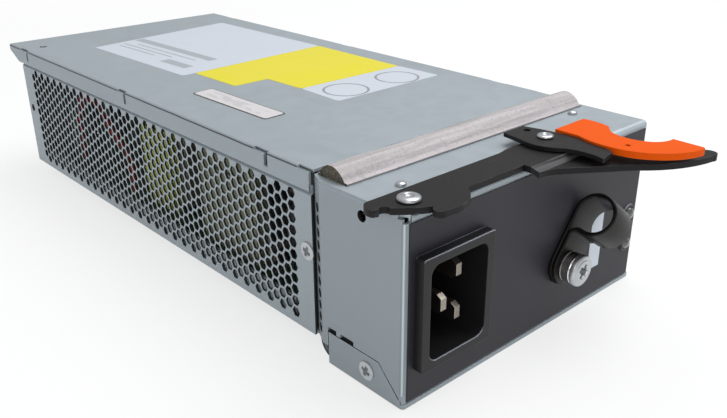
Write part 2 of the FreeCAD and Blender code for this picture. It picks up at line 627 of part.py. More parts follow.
def led_board():
    board = box(LED_X - 9, LED_X + 3.2, 4.6, 4.6 + BOARD_T, LED_LOW - 7, LED_LOW + LED_PITCH + 6)
    foot = cylinder((LED_X - 6, SHEET, LED_LOW + 14), 2.0, 4.6 - SHEET, V(0, 1, 0))
    return board.fuse(foot)


# ---- ejector lever and latch -----------------------------------------------------------------
def lever_arm():
    """Arm over the top plate: a forked nose round the chassis pin, then the straight arm."""
    front = LEVER_REAR - LEVER_ARM
    return lever_plan((-8.6, LEVER_REAR), [
        ((41.4, LEVER_REAR),),
        ((56.1, LEVER_REAR + 0.6), (64.6, LEVER_REAR - 1.5)),
        ((65.6, PADDLE_BEND),),
        ((39.1, PADDLE_BEND),),
        ((39.1, front + 0.8),),
        ((38.8, front + 0.2), (38.1, front)),
        ((16.6, front),),
        ((15.6, front - 0.5), (15.1, front - 1.6)),
        ((11.6, -6.2), (5.5, -7.6)),
        ((1.5, -7.4),),
        ((0.1, -5.4), (1.9, -3.6)),
        ((-2.5, -1.0), (-6.7, 2.6)),
        ((-7.9, 4.5), (-9.3, 3.6)),
        ((-10.9, 4.2),),
        ((-10.7, 7.2), (-8.6, LEVER_REAR)),
    ], LEVER_LOW, LEVER_TOP)


def lever_paddle():
    """Finger paddle, lower than the arm and turned forwards."""
    front = PADDLE_BEND - PADDLE_SLOPE
    return lever_plan((40.5, front), [
        ((43.7, front - 0.4), (46.5, front - 1.4)),
        ((64.7, -19.4),),
        ((74.5, -26.6), (86.3, -30.2)),
        ((89.7, -29.2), (89.0, -26.0)),
        ((86.9, -23.2), (83.4, -21.6)),
        ((73.0, -17.0), (66.6, front)),
        ((40.5, front),),
    ], PADDLE_LOW, PADDLE_TOP)


def ejector_lever():
    bend = PADDLE_BEND
    end = PADDLE_BEND - PADDLE_SLOPE
    left = PIVOT_X + 39.1
    right = PIVOT_X + 66.6
    facet = section([(bend, LEVER_LOW), (bend, LEVER_TOP), (end, PADDLE_TOP), (end, PADDLE_LOW)],
                    left, right)
    facet = facet.common(plan([(left, bend), (left + 1.4, end), (right, end), (right - 1, bend)],
                              PADDLE_LOW - 1, LEVER_TOP + 1))
    lever = lever_arm().fuse([facet, lever_paddle()])
    pivot = cylinder((PIVOT_X, PIVOT_Y, LEVER_LOW - 1), PIVOT_SHANK_R + RUN_FIT, LEVER_T + 2)
    rivet = cylinder((LATCH_X, LATCH_Y, LEVER_LOW - 1), LATCH_SHANK_R, LEVER_T + 2)
    return lever.cut(pivot).cut(rivet).removeSplitter()


def domed_head(x, y, z, radius, height):
    """Head with a straight foot and a coned crown."""
    foot = height * 0.4
    crown = Part.makeCone(radius, radius - (height - foot) * 1.2, height - foot, V(x, y, z + foot))
    return cylinder((x, y, z), radius, foot).fuse(crown)


def pivot_rivet():
    shank = cylinder((PIVOT_X, PIVOT_Y, PLATE_UNDER), PIVOT_SHANK_R, LEVER_TOP + GAP - PLATE_UNDER)
    return domed_head(PIVOT_X, PIVOT_Y, LEVER_TOP + GAP, PIVOT_HEAD_R, PIVOT_HEAD_T).fuse(shank)


def latch_outline(stretch, z0, z1):
    """Latch bar, with the tongue that carries the grip when stretch is set."""
    tongue = [((74.6, 4.6),), ((73.7, -1.0), (69.7, -4.5)), ((68.9, -11.0), (70.5, -17.4)),
              ((73.3, -21.6), (77.9, -24.0)), ((77.3, -26.6),), ((71.3, -23.8), (67.3, -17.6)),
              ((65.6, -10.6), (64.7, -4.0))]
    return lever_plan((52.7, 16.8), [
        ((61.5, 16.8),),
        ((63.3, 10.0), (63.9, 4.6)),
    ] + (tongue if stretch else [((64.7, -4.0),)]) + [
        ((62.9, -9.4), (61.0, -13.9)),
        ((54.6, -15.1),),
        ((55.5, -8.6), (54.1, -3.0)),
        ((51.1, 2.0), (51.3, 9.0)),
        ((52.7, 16.8),),
    ], z0, z1)


def latch_plate():
    plate = latch_outline(True, LATCH_LOW, LATCH_TOP)
    hole = cylinder((LATCH_X, LATCH_Y, LATCH_LOW - 1), LATCH_SHANK_R + RUN_FIT, LATCH_T + 2)
    catch = cylinder((LATCH_X + 1.5, 13.6, LATCH_LOW - 1), 1.2, LATCH_T + 2)
    return plate.cut(hole).cut(catch)


def latch_rivet():
    shank = cylinder((LATCH_X, LATCH_Y, LEVER_LOW), LATCH_SHANK_R, LATCH_TOP + GAP - LEVER_LOW)
    return domed_head(LATCH_X, LATCH_Y, LATCH_TOP + GAP, LATCH_HEAD_R, LATCH_HEAD_T).fuse(shank)


def grip_outline(z0, z1):
    return lever_plan((64.3, 7.2), [
        ((78.7, 7.4),),
        ((79.0, 3.0), (77.7, -2.0)),
        ((74.2, -4.8),),
        ((72.3, -11.0), (73.9, -16.9)),
        ((76.7, -19.6), (81.0, -20.4)),
        ((80.6, -29.0),),
        ((80.2, -30.1), (79.0, -30.4)),
        ((69.9, -26.6), (63.8, -19.0)),
        ((62.2, -10.0), (64.3, -0.8)),
        ((64.3, 7.2),),
    ], z0, z1)


def latch_grip():
    """Grip moulded over the latch's tongue, with a small window down to the steel."""
    grip = grip_outline(LATCH_LOW, LATCH_LOW + GRIP_T).cut(latch_outline(True, LATCH_LOW, LATCH_TOP))
    window = box(PIVOT_X + 66.4, PIVOT_X + 67.8, -15.4, -14.0, LATCH_TOP - 1, LATCH_LOW + GRIP_T + 1)
    return grip.cut(window).removeSplitter()


def stop_studs():
    places = ((13.1 - HALF_FRONT, 14.5), (HALF_FRONT - 12.1, 20.2))
    return group([domed_head(x, y, PLATE_TOP, STUD_R, STUD_H) for x, y in places])


# ---- screws ---------------------------------------------------------------------------------
def side_screw(side, surface, place):
    """Low-headed screw whose head lies on an outer side face."""
    head = cylinder((side * surface, place[0], place[1]), SCREW_HEAD_R, SCREW_HEAD_T, V(side, 0, 0))
    shank = cylinder((side * (surface - SCREW_L), place[0], place[1]), SCREW_R, SCREW_L, V(side, 0, 0))
    return head.fuse(shank)


def case_screws():
    return group([side_screw(side, HALF_MAIN, SIDE_SCREW) for side in (-1, 1)])


def flange_screws():
    return group([side_screw(side, HALF_FRONT, FLANGE_SCREW) for side in (-1, 1)])


# ---- inside ---------------------------------------------------------------------------------
SOCKET_X = 6.0
SOCKET_W = 62.0
SOCKET_H = 17.0
SOCKET_L = 20.0
SOCKET_PROUD = 5.5       # it stands this far behind the rear panel
BLADE_PITCH = 8.0
BLADE_SLOT_W = 3.4
BLADE_COUNT = 5
STANDOFF_R = 3.2         # to the corners of the hexagon
STANDOFF_IN = 7.5        # from the edges of the board
CAN_SIDES = 14           # hidden cans, rings and wires are many-sided
WIRE_SIDES = 8
CAP_R = 12.5
CAP_H = 36.0
CAP_PITCH = 28.0
CAP_X = HALF_BOARD - CAP_R - 0.5
CAP_FIRST = BOARD_FRONT + 18.0
SMALL_CAP_R = 5.0
SMALL_CAP_H = 22.0
SMALL_CAP_Y = BOARD_REAR - 16.0
COIL_X = 1.0 - HALF_BOARD            # left faces of the choke and the transformer
CHOKE_W = 26.0
CHOKE_L = 32.0
CHOKE_H = 34.0
CHOKE_FRONT = BOARD_FRONT + 28.0
TRANSFORMER_W = 32.0
TRANSFORMER_L = 30.0
TRANSFORMER_H = 37.0
TRANSFORMER_FRONT = CHOKE_FRONT + CHOKE_L + 18.0
TRANSFORMER_REAR = TRANSFORMER_FRONT + TRANSFORMER_L
FERRITE = 5.5            # thickness of the cores' limbs
SINK_X = COIL_X + TRANSFORMER_W + 8.0
SINK_L = 78.0
SINK_H = 38.0
SINK_PLATE = 3.0
SINK_FIN = 1.4
SINK_FINS = 6
SINK_REACH = 17.0
REAR_SINK_REACH = 22.0
REAR_SINK_X = HALF_BOARD - REAR_SINK_REACH - 5.0
REAR_SINK_FRONT = CHOKE_FRONT + SINK_L
REAR_SINK_L = BOARD_REAR - 24.0 - REAR_SINK_FRONT
DEVICE_PITCH = 18.0
DEVICE_W = 15.0
DEVICE_T = 4.8
CONTROL_Y = CHOKE_FRONT - 6.5
CONTROL_W = 33.0
CONTROL_H = 34.0
RING_X = COIL_X + 20.0
RING_Y = BOARD_FRONT + 7.0
RING_R = 13.1
RING_BORE = 3.9
LINE_DROP = 47.5         # depth at which the mains leads reach the board
LINE_WIRE_R = 1.3
SENSE_WIRE_R = 0.8
SENSE_X = COIL_X + 0.4
SENSE_TOP = 43.0


def standoff_places():
    middle = (BOARD_FRONT + BOARD_REAR) / 2
    return [(side * (HALF_BOARD - STANDOFF_IN), y)
            for side in (-1, 1)
            for y in (BOARD_FRONT + STANDOFF_IN, middle, BOARD_REAR - STANDOFF_IN)]


def board_standoffs():
    return group([prism((x, y, FLOOR_TOP), STANDOFF_R, STANDOFF_H, 6) for x, y in standoff_places()])


def insulating_sheet():
    sheet = box(-HALF_BOARD, HALF_BOARD, BOARD_FRONT, BOARD_REAR, FLOOR_TOP, FLOOR_TOP + SHIELD_T)
    return sheet.cut(group([prism((x, y, FLOOR_TOP - 1), STANDOFF_R + LAP, 3, 6)
                            for x, y in standoff_places()]))


def main_board():
    return box(-HALF_BOARD, HALF_BOARD, BOARD_FRONT, BOARD_REAR, BOARD_LOW, BOARD_TOP)


def bulk_capacitors():
    return group([prism((CAP_X, CAP_FIRST + k * CAP_PITCH, BOARD_TOP), CAP_R, CAP_H, CAN_SIDES)
                  for k in range(3)])


def output_capacitors():
    first = SMALL_CAP_R + 4.0 - HALF_BOARD
    return group([prism((first + 12.0 * k, SMALL_CAP_Y, BOARD_TOP), SMALL_CAP_R, SMALL_CAP_H,
                        CAN_SIDES) for k in range(3)])


def rounded_case(x0, x1, y0, y1, z0, z1, radius):
    body = box(x0, x1, y0, y1, z0, z1)
    corners = [(x, y) for x in (x0, x1) for y in (y0, y1)]
    return body.makeFillet(radius, upright_edges(body, corners))


def choke_core():
    """E-core halves closed round the winding."""
    x0, x1 = COIL_X, COIL_X + CHOKE_W
    y0, y1 = CHOKE_FRONT, CHOKE_FRONT + CHOKE_L
    low, high = BOARD_TOP + FERRITE, BOARD_TOP + CHOKE_H - FERRITE
    middle = (y0 + y1) / 2
    core = box(x0, x1, y0, y1, BOARD_TOP, BOARD_TOP + CHOKE_H)
    core = core.cut(box(x0 - 1, x1 + 1, y0 + FERRITE, y1 - FERRITE, low, high))
    limb = box(x0, x1, middle - FERRITE * 0.7, middle + FERRITE * 0.7, low, high)
    return core.fuse(limb).removeSplitter()


def choke_winding():
    """Coil round the middle limb; it stands a little out of the core's sides."""
    x0, x1 = COIL_X, COIL_X + CHOKE_W
    y0, y1 = CHOKE_FRONT + FERRITE + LAP, CHOKE_FRONT + CHOKE_L - FERRITE - LAP
    low, high = BOARD_TOP + FERRITE + LAP, BOARD_TOP + CHOKE_H - FERRITE - LAP
    reach = FERRITE * 0.7 + LAP
    middle = (y0 + y1) / 2
    coil = rounded_case(x0 - 1, x1 + 1, y0, y1, low, high, 2.5)
    return coil.cut(box(x0 - 0.01, x1 + 0.01, middle - reach, middle + reach, low - 1, high + 1))


def transformer_core():
    x0, x1 = COIL_X + FERRITE, COIL_X + TRANSFORMER_W - FERRITE
    y0, y1 = TRANSFORMER_FRONT, TRANSFORMER_REAR
    low, high = BOARD_TOP + 3.0, BOARD_TOP + TRANSFORMER_H
    core = box(x0, x1, y0, y1, low, high)
    return core.cut(box(x0 - 1, x1 + 1, y0 + FERRITE, y1 - FERRITE, low + FERRITE, high - FERRITE))


def transformer_winding():
    """Taped coil in a bobbin that stands on the board."""
    x0, x1 = COIL_X, COIL_X + TRANSFORMER_W
    y0, y1 = TRANSFORMER_FRONT + FERRITE + LAP, TRANSFORMER_REAR - FERRITE - LAP
    low = BOARD_TOP + 3.0 + FERRITE + LAP
    high = BOARD_TOP + TRANSFORMER_H - FERRITE - LAP
    coil = rounded_case(x0, x1, y0, y1, low, high, 4.0)
    posts = [box(x0 + 2, x0 + FERRITE - LAP, y0, y1, BOARD_TOP, low + 2),
             box(x1 - FERRITE + LAP, x1 - 2, y0, y1, BOARD_TOP, low + 2)]
    return coil.fuse(posts).removeSplitter()


def finned_sink(x, front, length, reach):
    """Upright plate with level fins on its right side."""
    low = BOARD_TOP
    plate = x + SINK_PLATE
    outline = [(x, low), (plate, low)]
    pitch = (SINK_H - 8.0) / SINK_FINS
    for k in range(SINK_FINS):
        z = low + 6.0 + k * pitch
        outline += [(plate, z), (x + reach, z), (x + reach, z + SINK_FIN), (plate, z + SINK_FIN)]
    outline += [(plate, low + SINK_H), (x, low + SINK_H)]
    return frontal(outline, front, front + length)


def primary_heatsink():
    return finned_sink(SINK_X, CHOKE_FRONT, SINK_L, SINK_REACH)


def secondary_heatsink():
    return finned_sink(REAR_SINK_X, REAR_SINK_FRONT, REAR_SINK_L, REAR_SINK_REACH)


def power_devices():
    """Flat packages clipped to the plain faces of the two heatsinks."""
    packs = []
    for x, front, length in ((SINK_X, CHOKE_FRONT, SINK_L), (REAR_SINK_X, REAR_SINK_FRONT, REAR_SINK_L)):
        count = int((length - 1) / DEVICE_PITCH)
        start = front + (length - count * DEVICE_PITCH) / 2
        for k in range(count):
            y = start + k * DEVICE_PITCH
            body = box(x - DEVICE_T, x, y, y + DEVICE_W, BOARD_TOP + 9, BOARD_TOP + 30)
            leads = [box(x - 3.0, x - 2.2, y + at, y + at + 1.4, BOARD_TOP, BOARD_TOP + 9)
                     for at in (1.4, DEVICE_W / 2 - 0.7, DEVICE_W - 2.8)]
            packs.append(body.fuse(leads))
    return group(packs)


def control_board():
    """Upright board with one flat package on its front."""
    x0 = COIL_X + 1.0
    board = box(x0, x0 + CONTROL_W, CONTROL_Y, CONTROL_Y + BOARD_T, BOARD_TOP, BOARD_TOP + CONTROL_H)
    chip = box(x0 + 9, x0 + 21, CONTROL_Y - 1.6, CONTROL_Y, BOARD_TOP + 14, BOARD_TOP + 26)
    return board.fuse(chip)


def emi_choke():
    """Toroid standing on edge in front of the control board."""
    width = 9.0
    bevel = 2.6
    centre = V(RING_X, RING_Y, BOARD_TOP + bevel + RING_R)
    ring = prism(centre, RING_R, width, CAN_SIDES, V(0, 1, 0))
    rims = [e for e in ring.Edges if abs(e.Vertexes[0].Point.y - e.Vertexes[-1].Point.y) < 1e-6]
    ring = ring.makeChamfer(bevel, rims)
    ring = ring.cut(prism(centre - V(0, 1, 0), RING_BORE, width + 2, CAN_SIDES, V(0, 1, 0)))
    foot = box(RING_X - 6, RING_X + 6, RING_Y + 0.5, RING_Y + width - 0.5, BOARD_TOP, BOARD_TOP + 4)
    return ring.fuse(foot)


def blade_places():
    """Left edges of the slots in the output connector."""
    return [SOCKET_X - SOCKET_W / 2 + 4 + BLADE_PITCH * k for k in range(BLADE_COUNT)]


def output_connector():
    y1 = MAIN_REAR + SOCKET_PROUD
    body = box(SOCKET_X - SOCKET_W / 2, SOCKET_X + SOCKET_W / 2, y1 - SOCKET_L, y1,
               BOARD_TOP, BOARD_TOP + SOCKET_H)
    body = body.makeChamfer(0.8, [e for e in body.Edges
                                  if all(abs(v.Point.y - y1) < 1e-6 for v in e.Vertexes)])
    slots = [box(x, x + BLADE_SLOT_W, y1 - 11, y1 + 1, BOARD_TOP + 2.5, BOARD_TOP + SOCKET_H - 2.5)
             for x in blade_places()]
    signal = box(blade_places()[-1] + BLADE_SLOT_W + 3, SOCKET_X + SOCKET_W / 2 - 4, y1 - 9, y1 + 1,
                 BOARD_TOP + 6.6, BOARD_TOP + 10.4)
    return body.cut(group(slots + [signal]))


def output_blades():
    y1 = MAIN_REAR + SOCKET_PROUD
    return group([box(x + 1.0, x + BLADE_SLOT_W - 1.0, y1 - 11, y1 - 2.5,
                      BOARD_TOP + 4, BOARD_TOP + SOCKET_H - 4) for x in blade_places()])


def tube(route, radius):
    """Many-sided wire along a list of points; each corner is turned in two mitres."""
    turn = 2.4
    path = [V(*route[0])]
    for before, corner, after in zip(route, route[1:], route[2:]):
        p = V(*corner)
        path.append(p + (V(*before) - p).normalize() * turn)
        path.append(p + (V(*after) - p).normalize() * turn)
    path.append(V(*route[-1]))
    start = prism(path[0], radius, 1, WIRE_SIDES, (path[1] - path[0]).normalize())
    ring = [f for f in start.Faces if (f.CenterOfMass - path[0]).Length < 1e-6][0].OuterWire
    return Part.makePolygon(path).makePipeShell([ring], True, False, 1)


def line_wires():
    tail = -BEZEL_T + CAVITY_DEPTH + INLET_FLOOR + PIN_TAIL
    wires = []
    for k, (x, z, _) in enumerate(pin_places()):
        drop = COIL_X + 4.0 + 5.0 * k
        route = [(x, tail, z), (x, tail + 8.0 + 2.0 * k, z), (drop, LINE_DROP, BOARD_TOP + 10),
                 (drop, LINE_DROP, BOARD_TOP)]
        wires.append(tube(route, LINE_WIRE_R))
    return group(wires)


def sense_wires():
    """Pair of thin leads that rise from the transformer and run back to the output board."""
    start = TRANSFORMER_REAR + 4.0
    end = BOARD_REAR - 30.0
    wires = []
    for k in range(2):
        x = SENSE_X + 2.2 * k
        near = start + 3.0 * k
        far = end + 3.0 * k
        route = [(x, near, BOARD_TOP), (x, near, SENSE_TOP - 19), (x, near + (end - start) * 0.55, SENSE_TOP),
                 (x, end - 4, SENSE_TOP), (x, far, SENSE_TOP - 17), (x, far, BOARD_TOP)]
        wires.append(tube(route, SENSE_WIRE_R))
    return group(wires)


PIECES = {
    "side_grille": side_grille,
    "right_side": lambda: side_panel(1),
    "case_floor": case_floor,
    "top_cover": top_cover,
    "rear_panel": rear_panel,
    "front_shell": front_shell,
    "front_top_plate": front_top_plate,
    "front_bottom_plate": front_bottom_plate,
    "face_overlay": face_overlay,
    "emi_gasket": emi_gasket,
    "inlet_housing": inlet_housing,
    "inlet_pins": inlet_pins,
    "cord_clamp": cord_clamp,
    "clamp_collar": clamp_collar,
    "clamp_screw": clamp_screw,
    "clamp_nut": clamp_nut,
    "led_lenses": led_lenses,
    "led_board": led_board,
    "ejector_lever": ejector_lever,
    "pivot_rivet": pivot_rivet,
    "latch_plate": latch_plate,
    "latch_rivet": latch_rivet,
    "latch_grip": latch_grip,
    "stop_studs": stop_studs,
    "case_screws": case_screws,
    "flange_screws": flange_screws,
    "board_standoffs": board_standoffs,
    "insulating_sheet": insulating_sheet,
    "main_board": main_board,
    "bulk_capacitors": bulk_capacitors,
    "output_capacitors": output_capacitors,
    "choke_core": choke_core,
    "choke_winding": choke_winding,
    "transformer_core": transformer_core,
    "transformer_winding": transformer_winding,
    "primary_heatsink": primary_heatsink,
    "secondary_heatsink": secondary_heatsink,
    "power_devices": power_devices,
    "control_board": control_board,
    "emi_choke": emi_choke,
    "output_connector": output_connector,
    "output_blades": output_blades,
    "line_wires": line_wires,
    "sense_wires": sense_wires,
}


def main():
    os.makedirs("parts", exist_ok=True)
    for name, make in PIECES.items():
        save(name, make())


main()
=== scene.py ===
import functools
import math
import random

import bmesh
import bpy
from bpy.props import FloatProperty, FloatVectorProperty, IntProperty, PointerProperty
from mathutils import Matrix, Vector
from mathutils.geometry import delaunay_2d_cdt


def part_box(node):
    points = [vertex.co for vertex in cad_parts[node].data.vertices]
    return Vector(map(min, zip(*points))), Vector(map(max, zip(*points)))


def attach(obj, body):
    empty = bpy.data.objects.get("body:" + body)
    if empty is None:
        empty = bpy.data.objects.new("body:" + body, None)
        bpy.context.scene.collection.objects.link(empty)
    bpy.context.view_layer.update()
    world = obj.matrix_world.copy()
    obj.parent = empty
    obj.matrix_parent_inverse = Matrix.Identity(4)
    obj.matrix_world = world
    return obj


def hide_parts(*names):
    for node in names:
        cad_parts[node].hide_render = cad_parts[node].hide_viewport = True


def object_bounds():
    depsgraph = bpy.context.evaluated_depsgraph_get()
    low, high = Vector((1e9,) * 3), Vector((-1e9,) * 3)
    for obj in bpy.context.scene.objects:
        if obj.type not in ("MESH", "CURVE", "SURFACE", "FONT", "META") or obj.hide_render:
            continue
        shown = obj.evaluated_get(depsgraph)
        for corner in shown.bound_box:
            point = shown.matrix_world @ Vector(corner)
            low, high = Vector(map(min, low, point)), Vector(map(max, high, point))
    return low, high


bl_info = {
    "name": "Server Power Supply",
    "version": (1, 0, 0),
    "blender": (4, 5, 0),
    "location": "View3D > Sidebar > Power Supply",
    "description": "Dresses the packed power supply with its finishes, trim and studio",
    "category": "Object",
}

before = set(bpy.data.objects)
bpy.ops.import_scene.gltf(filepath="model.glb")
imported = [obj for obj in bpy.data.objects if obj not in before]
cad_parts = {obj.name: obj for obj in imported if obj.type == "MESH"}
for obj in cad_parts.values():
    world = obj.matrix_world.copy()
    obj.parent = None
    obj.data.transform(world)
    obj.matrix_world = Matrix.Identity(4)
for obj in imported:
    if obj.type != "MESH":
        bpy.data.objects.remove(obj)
CAD_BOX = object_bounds()
MM = 0.001


def low(node):
    """Lowest corner of a piece's box."""
    return Vector(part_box(node)[0])


def high(node):
    """Highest corner of a piece's box."""
    return Vector(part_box(node)[1])


def middle(node):
    """Middle of a piece's box."""
    return (low(node) + high(node)) / 2


# ---- sizes and colours ----------------------------------------------------------------------

def length(name, description, value):
    """Setting that holds a length."""
    return FloatProperty(name=name, description=description, default=value, unit="LENGTH",
                         precision=5)


def colour(name, description, value):
    """Setting that holds a colour."""
    return FloatVectorProperty(name=name, description=description, default=value,
                               subtype="COLOR", min=0, max=1, size=3)


def offset(name, description, value):
    """Setting that holds a place or a shift."""
    return FloatVectorProperty(name=name, description=description, default=value, size=3,
                               subtype="TRANSLATION", unit="LENGTH")


class SheetSettings(bpy.types.PropertyGroup):
    """Galvanised sheet and its perforation."""
    tint: colour("Zinc", "Colour of the zinc coat", (0.338, 0.388, 0.420))
    sheet_thickness: length("Sheet thickness", "Thickness seen in the punched holes", 0.7 * MM)
    edge_round: length("Edge round", "Rounding of sheared and folded edges", 0.35 * MM)
    hole_flats: length("Hole flats", "Size of one six-sided hole across its flats", 3.05 * MM)
    hole_corner: length("Hole corner", "Rounding of a hole's corners", 0.4 * MM)
    hole_pitch: length("Hole pitch", "Distance between the holes of one column", 3.84 * MM)
    column_step: length("Column step", "Distance between two columns", 3.19 * MM)
    field_front: length("Field front", "First column behind the panel's front edge", 8.9 * MM)
    field_low: length("Field low", "Lowest hole above the panel's lower edge", 3.8 * MM)
    columns: IntProperty(name="Columns", description="Columns of holes", default=58, min=1)
    rows: IntProperty(name="Rows", description="Holes in each full column", default=11, min=2)
    joggle: length("Joggle", "Inward step of the panel behind the cover", 1.1 * MM)
    joggle_height: length("Joggle height", "Height over which the panel steps in", 0.9 * MM)
    flange_height: length("Flange height", "Height of the cover's side flange", 6.5 * MM)


class TrimSettings(bpy.types.PropertyGroup):
    """Lever, grip, film, clamp and gasket."""
    steel_black: colour("Blackened steel", "Colour of the lever and the latch",
                        (0.0088, 0.0088, 0.0096))
    orange: colour("Grip orange", "Colour of the release grip", (0.76, 0.092, 0.0))
    film_black: colour("Face film", "Colour of the film on the front", (0.0165, 0.0160, 0.0225))
    moulding_black: colour("Moulding", "Colour of the inlet and the connector",
                           (0.011, 0.011, 0.012))
    vinyl_black: colour("Vinyl", "Colour of the dipped cord clamp", (0.0072, 0.0062, 0.0052))
    gasket_fabric: colour("Gasket fabric", "Colour of the metallised fabric", (0.44, 0.42, 0.435))
    gasket_waviness: length("Gasket waviness", "Height of the gasket's undulation", 0.12 * MM)
    strap_thickness: length("Strap thickness", "Thickness of the cord clamp's strap", 1.2 * MM)
    strap_width: length("Strap width", "Width of the cord clamp's strap", 12.7 * MM)
    strap_round: length("Strap round", "Rounding of the strap's long edges", 0.45 * MM)
    strap_tilt: FloatProperty(name="Strap tilt", description="Lean of the cord clamp to the right",
                              subtype="ANGLE", default=math.radians(37))
    loop_radius: length("Loop radius", "Inside radius of the cord loop", 5.5 * MM)
    loop_rise: length("Loop rise", "From the clamp's screw to the middle of the loop", 16.2 * MM)
    neck_radius: length("Neck radius", "Radius of the reverse bend below the loop", 2.4 * MM)


class LabelSettings(bpy.types.PropertyGroup):
    """Bare labels on the cover and the front."""
    paper: colour("Paper", "Colour of the white labels", (0.56, 0.61, 0.68))
    yellow: colour("Yellow", "Colour of the plain yellow label", (0.735, 0.650, 0.010))
    thickness: length("Label thickness", "Thickness of a label", 0.08 * MM)
    corner: length("Label corner", "Rounding of the labels' corners", 1.2 * MM)


class StageSettings(bpy.types.PropertyGroup):
    """Camera, floor and lamps."""
    eye: offset("Eye", "Place of the camera", (-0.1765, -0.1359, 0.1337))
    heading: FloatProperty(name="Heading", description="Camera heading from +Y towards +X",
                           subtype="ANGLE", default=math.radians(42.05))
    tilt: FloatProperty(name="Tilt", description="Downward tilt of the camera", subtype="ANGLE",
                        default=math.radians(23.89))
    roll: FloatProperty(name="Roll", description="Clockwise roll of the picture", subtype="ANGLE",
                        default=math.radians(0.37))
    lens: FloatProperty(name="Lens", description="Focal length on a 36 mm sensor", default=39.87,
                        unit="CAMERA")
    sky: FloatProperty(name="Sky", description="Strength of the even light overhead", default=0.62)
    horizon: FloatProperty(name="Horizon", description="Strength of the even light at the horizon",
                           default=0.38)
    key: FloatProperty(name="Key lamp", description="Power of the overhead lamp", default=7.4,
                       unit="POWER")
    fill: FloatProperty(name="Fill lamp", description="Power of the lamp beside the camera",
                        default=1.8, unit="POWER")
    floor: colour("Floor", "Colour of the floor", (0.86, 0.87, 0.88))
    floor_half: length("Floor half", "Half of the floor's side", 8.0)
    key_place: offset("Key place", "Overhead lamp, from the part's middle", (0.36, -0.12, 0.86))
    fill_place: offset("Fill place", "Lamp beside the camera, from the part's middle",
                       (-0.75, -0.75, 0.45))
    key_size: length("Key size", "Diameter of the overhead lamp", 0.9)
    fill_size: length("Fill size", "Diameter of the lamp beside the camera", 0.7)


# Labels on the cover, in millimetres: across it, and back from its front edge.
COVER_LABELS = (
    ("rating_plate_bare", "white_label", ((-26.7, 110.1), (43.2, 114.5), (41.6, 188.4),
                                          (-29.3, 179.2))),
    ("yellow_plate_bare", "yellow_label", ((-20.6, 84.1), (-6.1, 84.2), (-5.4, 65.0), (43.0, 64.9),
                                           (43.2, 114.4), (-21.3, 110.3))),
    ("circle_plate_bare", "circled_label", ((-6.0, 43.9), (44.0, 44.3), (43.1, 64.8),
                                            (-5.4, 64.9))),
    ("sticker_border", "dark_border", ((-36.3, 44.0), (-27.4, 44.5), (-28.3, 87.2),
                                       (-37.1, 86.4))),
    ("sticker_bare", "sticker_paper", ((-35.8, 44.5), (-27.9, 45.0), (-28.8, 86.7),
                                       (-36.6, 85.9))),
)
RATING_BARS = ((-8.0, -3.6, 123.5, 181.0), (-22.0, -17.4, 120.0, 137.5),
               (-15.2, -14.2, 140.0, 178.0), (-18.4, -17.4, 148.0, 176.0),
               (-11.8, -10.8, 128.0, 172.0))
CIRCLE_CENTRES = ((5.3, 52.9), (30.5, 52.9))
STICKER_BAND = (-34.6, -30.2, 50.0, 82.0)
FACE_STRIP = (27.8 * MM, 34.0 * MM, 11.5 * MM, 31.5 * MM)      # x, x, z, z on the front film


# ---- shader nodes written as expressions -----------------------------------------------------
class Value:
    """Output of a shader node; arithmetic on it adds Math nodes."""

    def __init__(self, finish, output):
        self.finish = finish
        self.output = output

    def math(self, operation, *values):
        return self.finish.node("ShaderNodeMath", {"operation": operation},
                                dict(enumerate(values)))["Value"]

    def __add__(self, other):
        return self.math("ADD", self, other)

    __radd__ = __add__

    def __sub__(self, other):
        return self.math("SUBTRACT", self, other)

    def __rsub__(self, other):
        return self.math("SUBTRACT", other, self)

    def __mul__(self, other):
        return self.math("MULTIPLY", self, other)

    __rmul__ = __mul__

    def __truediv__(self, other):
        return self.math("DIVIDE", self, other)

    def __gt__(self, other):
        return self.math("GREATER_THAN", self, other)

    def __lt__(self, other):
        return self.math("LESS_THAN", self, other)

    def absolute(self):
        return self.math("ABSOLUTE", self)

    def root(self):
        return self.math("SQRT", self)

    def angle_over(self, other):
        """Angle whose sine and cosine are in the proportion of self and other."""
        return self.math("ARCTAN2", self, other)

    def larger(self, other):
        return self.math("MAXIMUM", self, other)

    def wave(self):
        return self.math("SINE", self)

    def ramp(self, start, end):
        """0 up to start, 1 from end, smooth between."""
        return self.finish.node("ShaderNodeMapRange", {"interpolation_type": "SMOOTHSTEP"},
                                {"Value": self, "From Min": start, "From Max": end})["Result"]


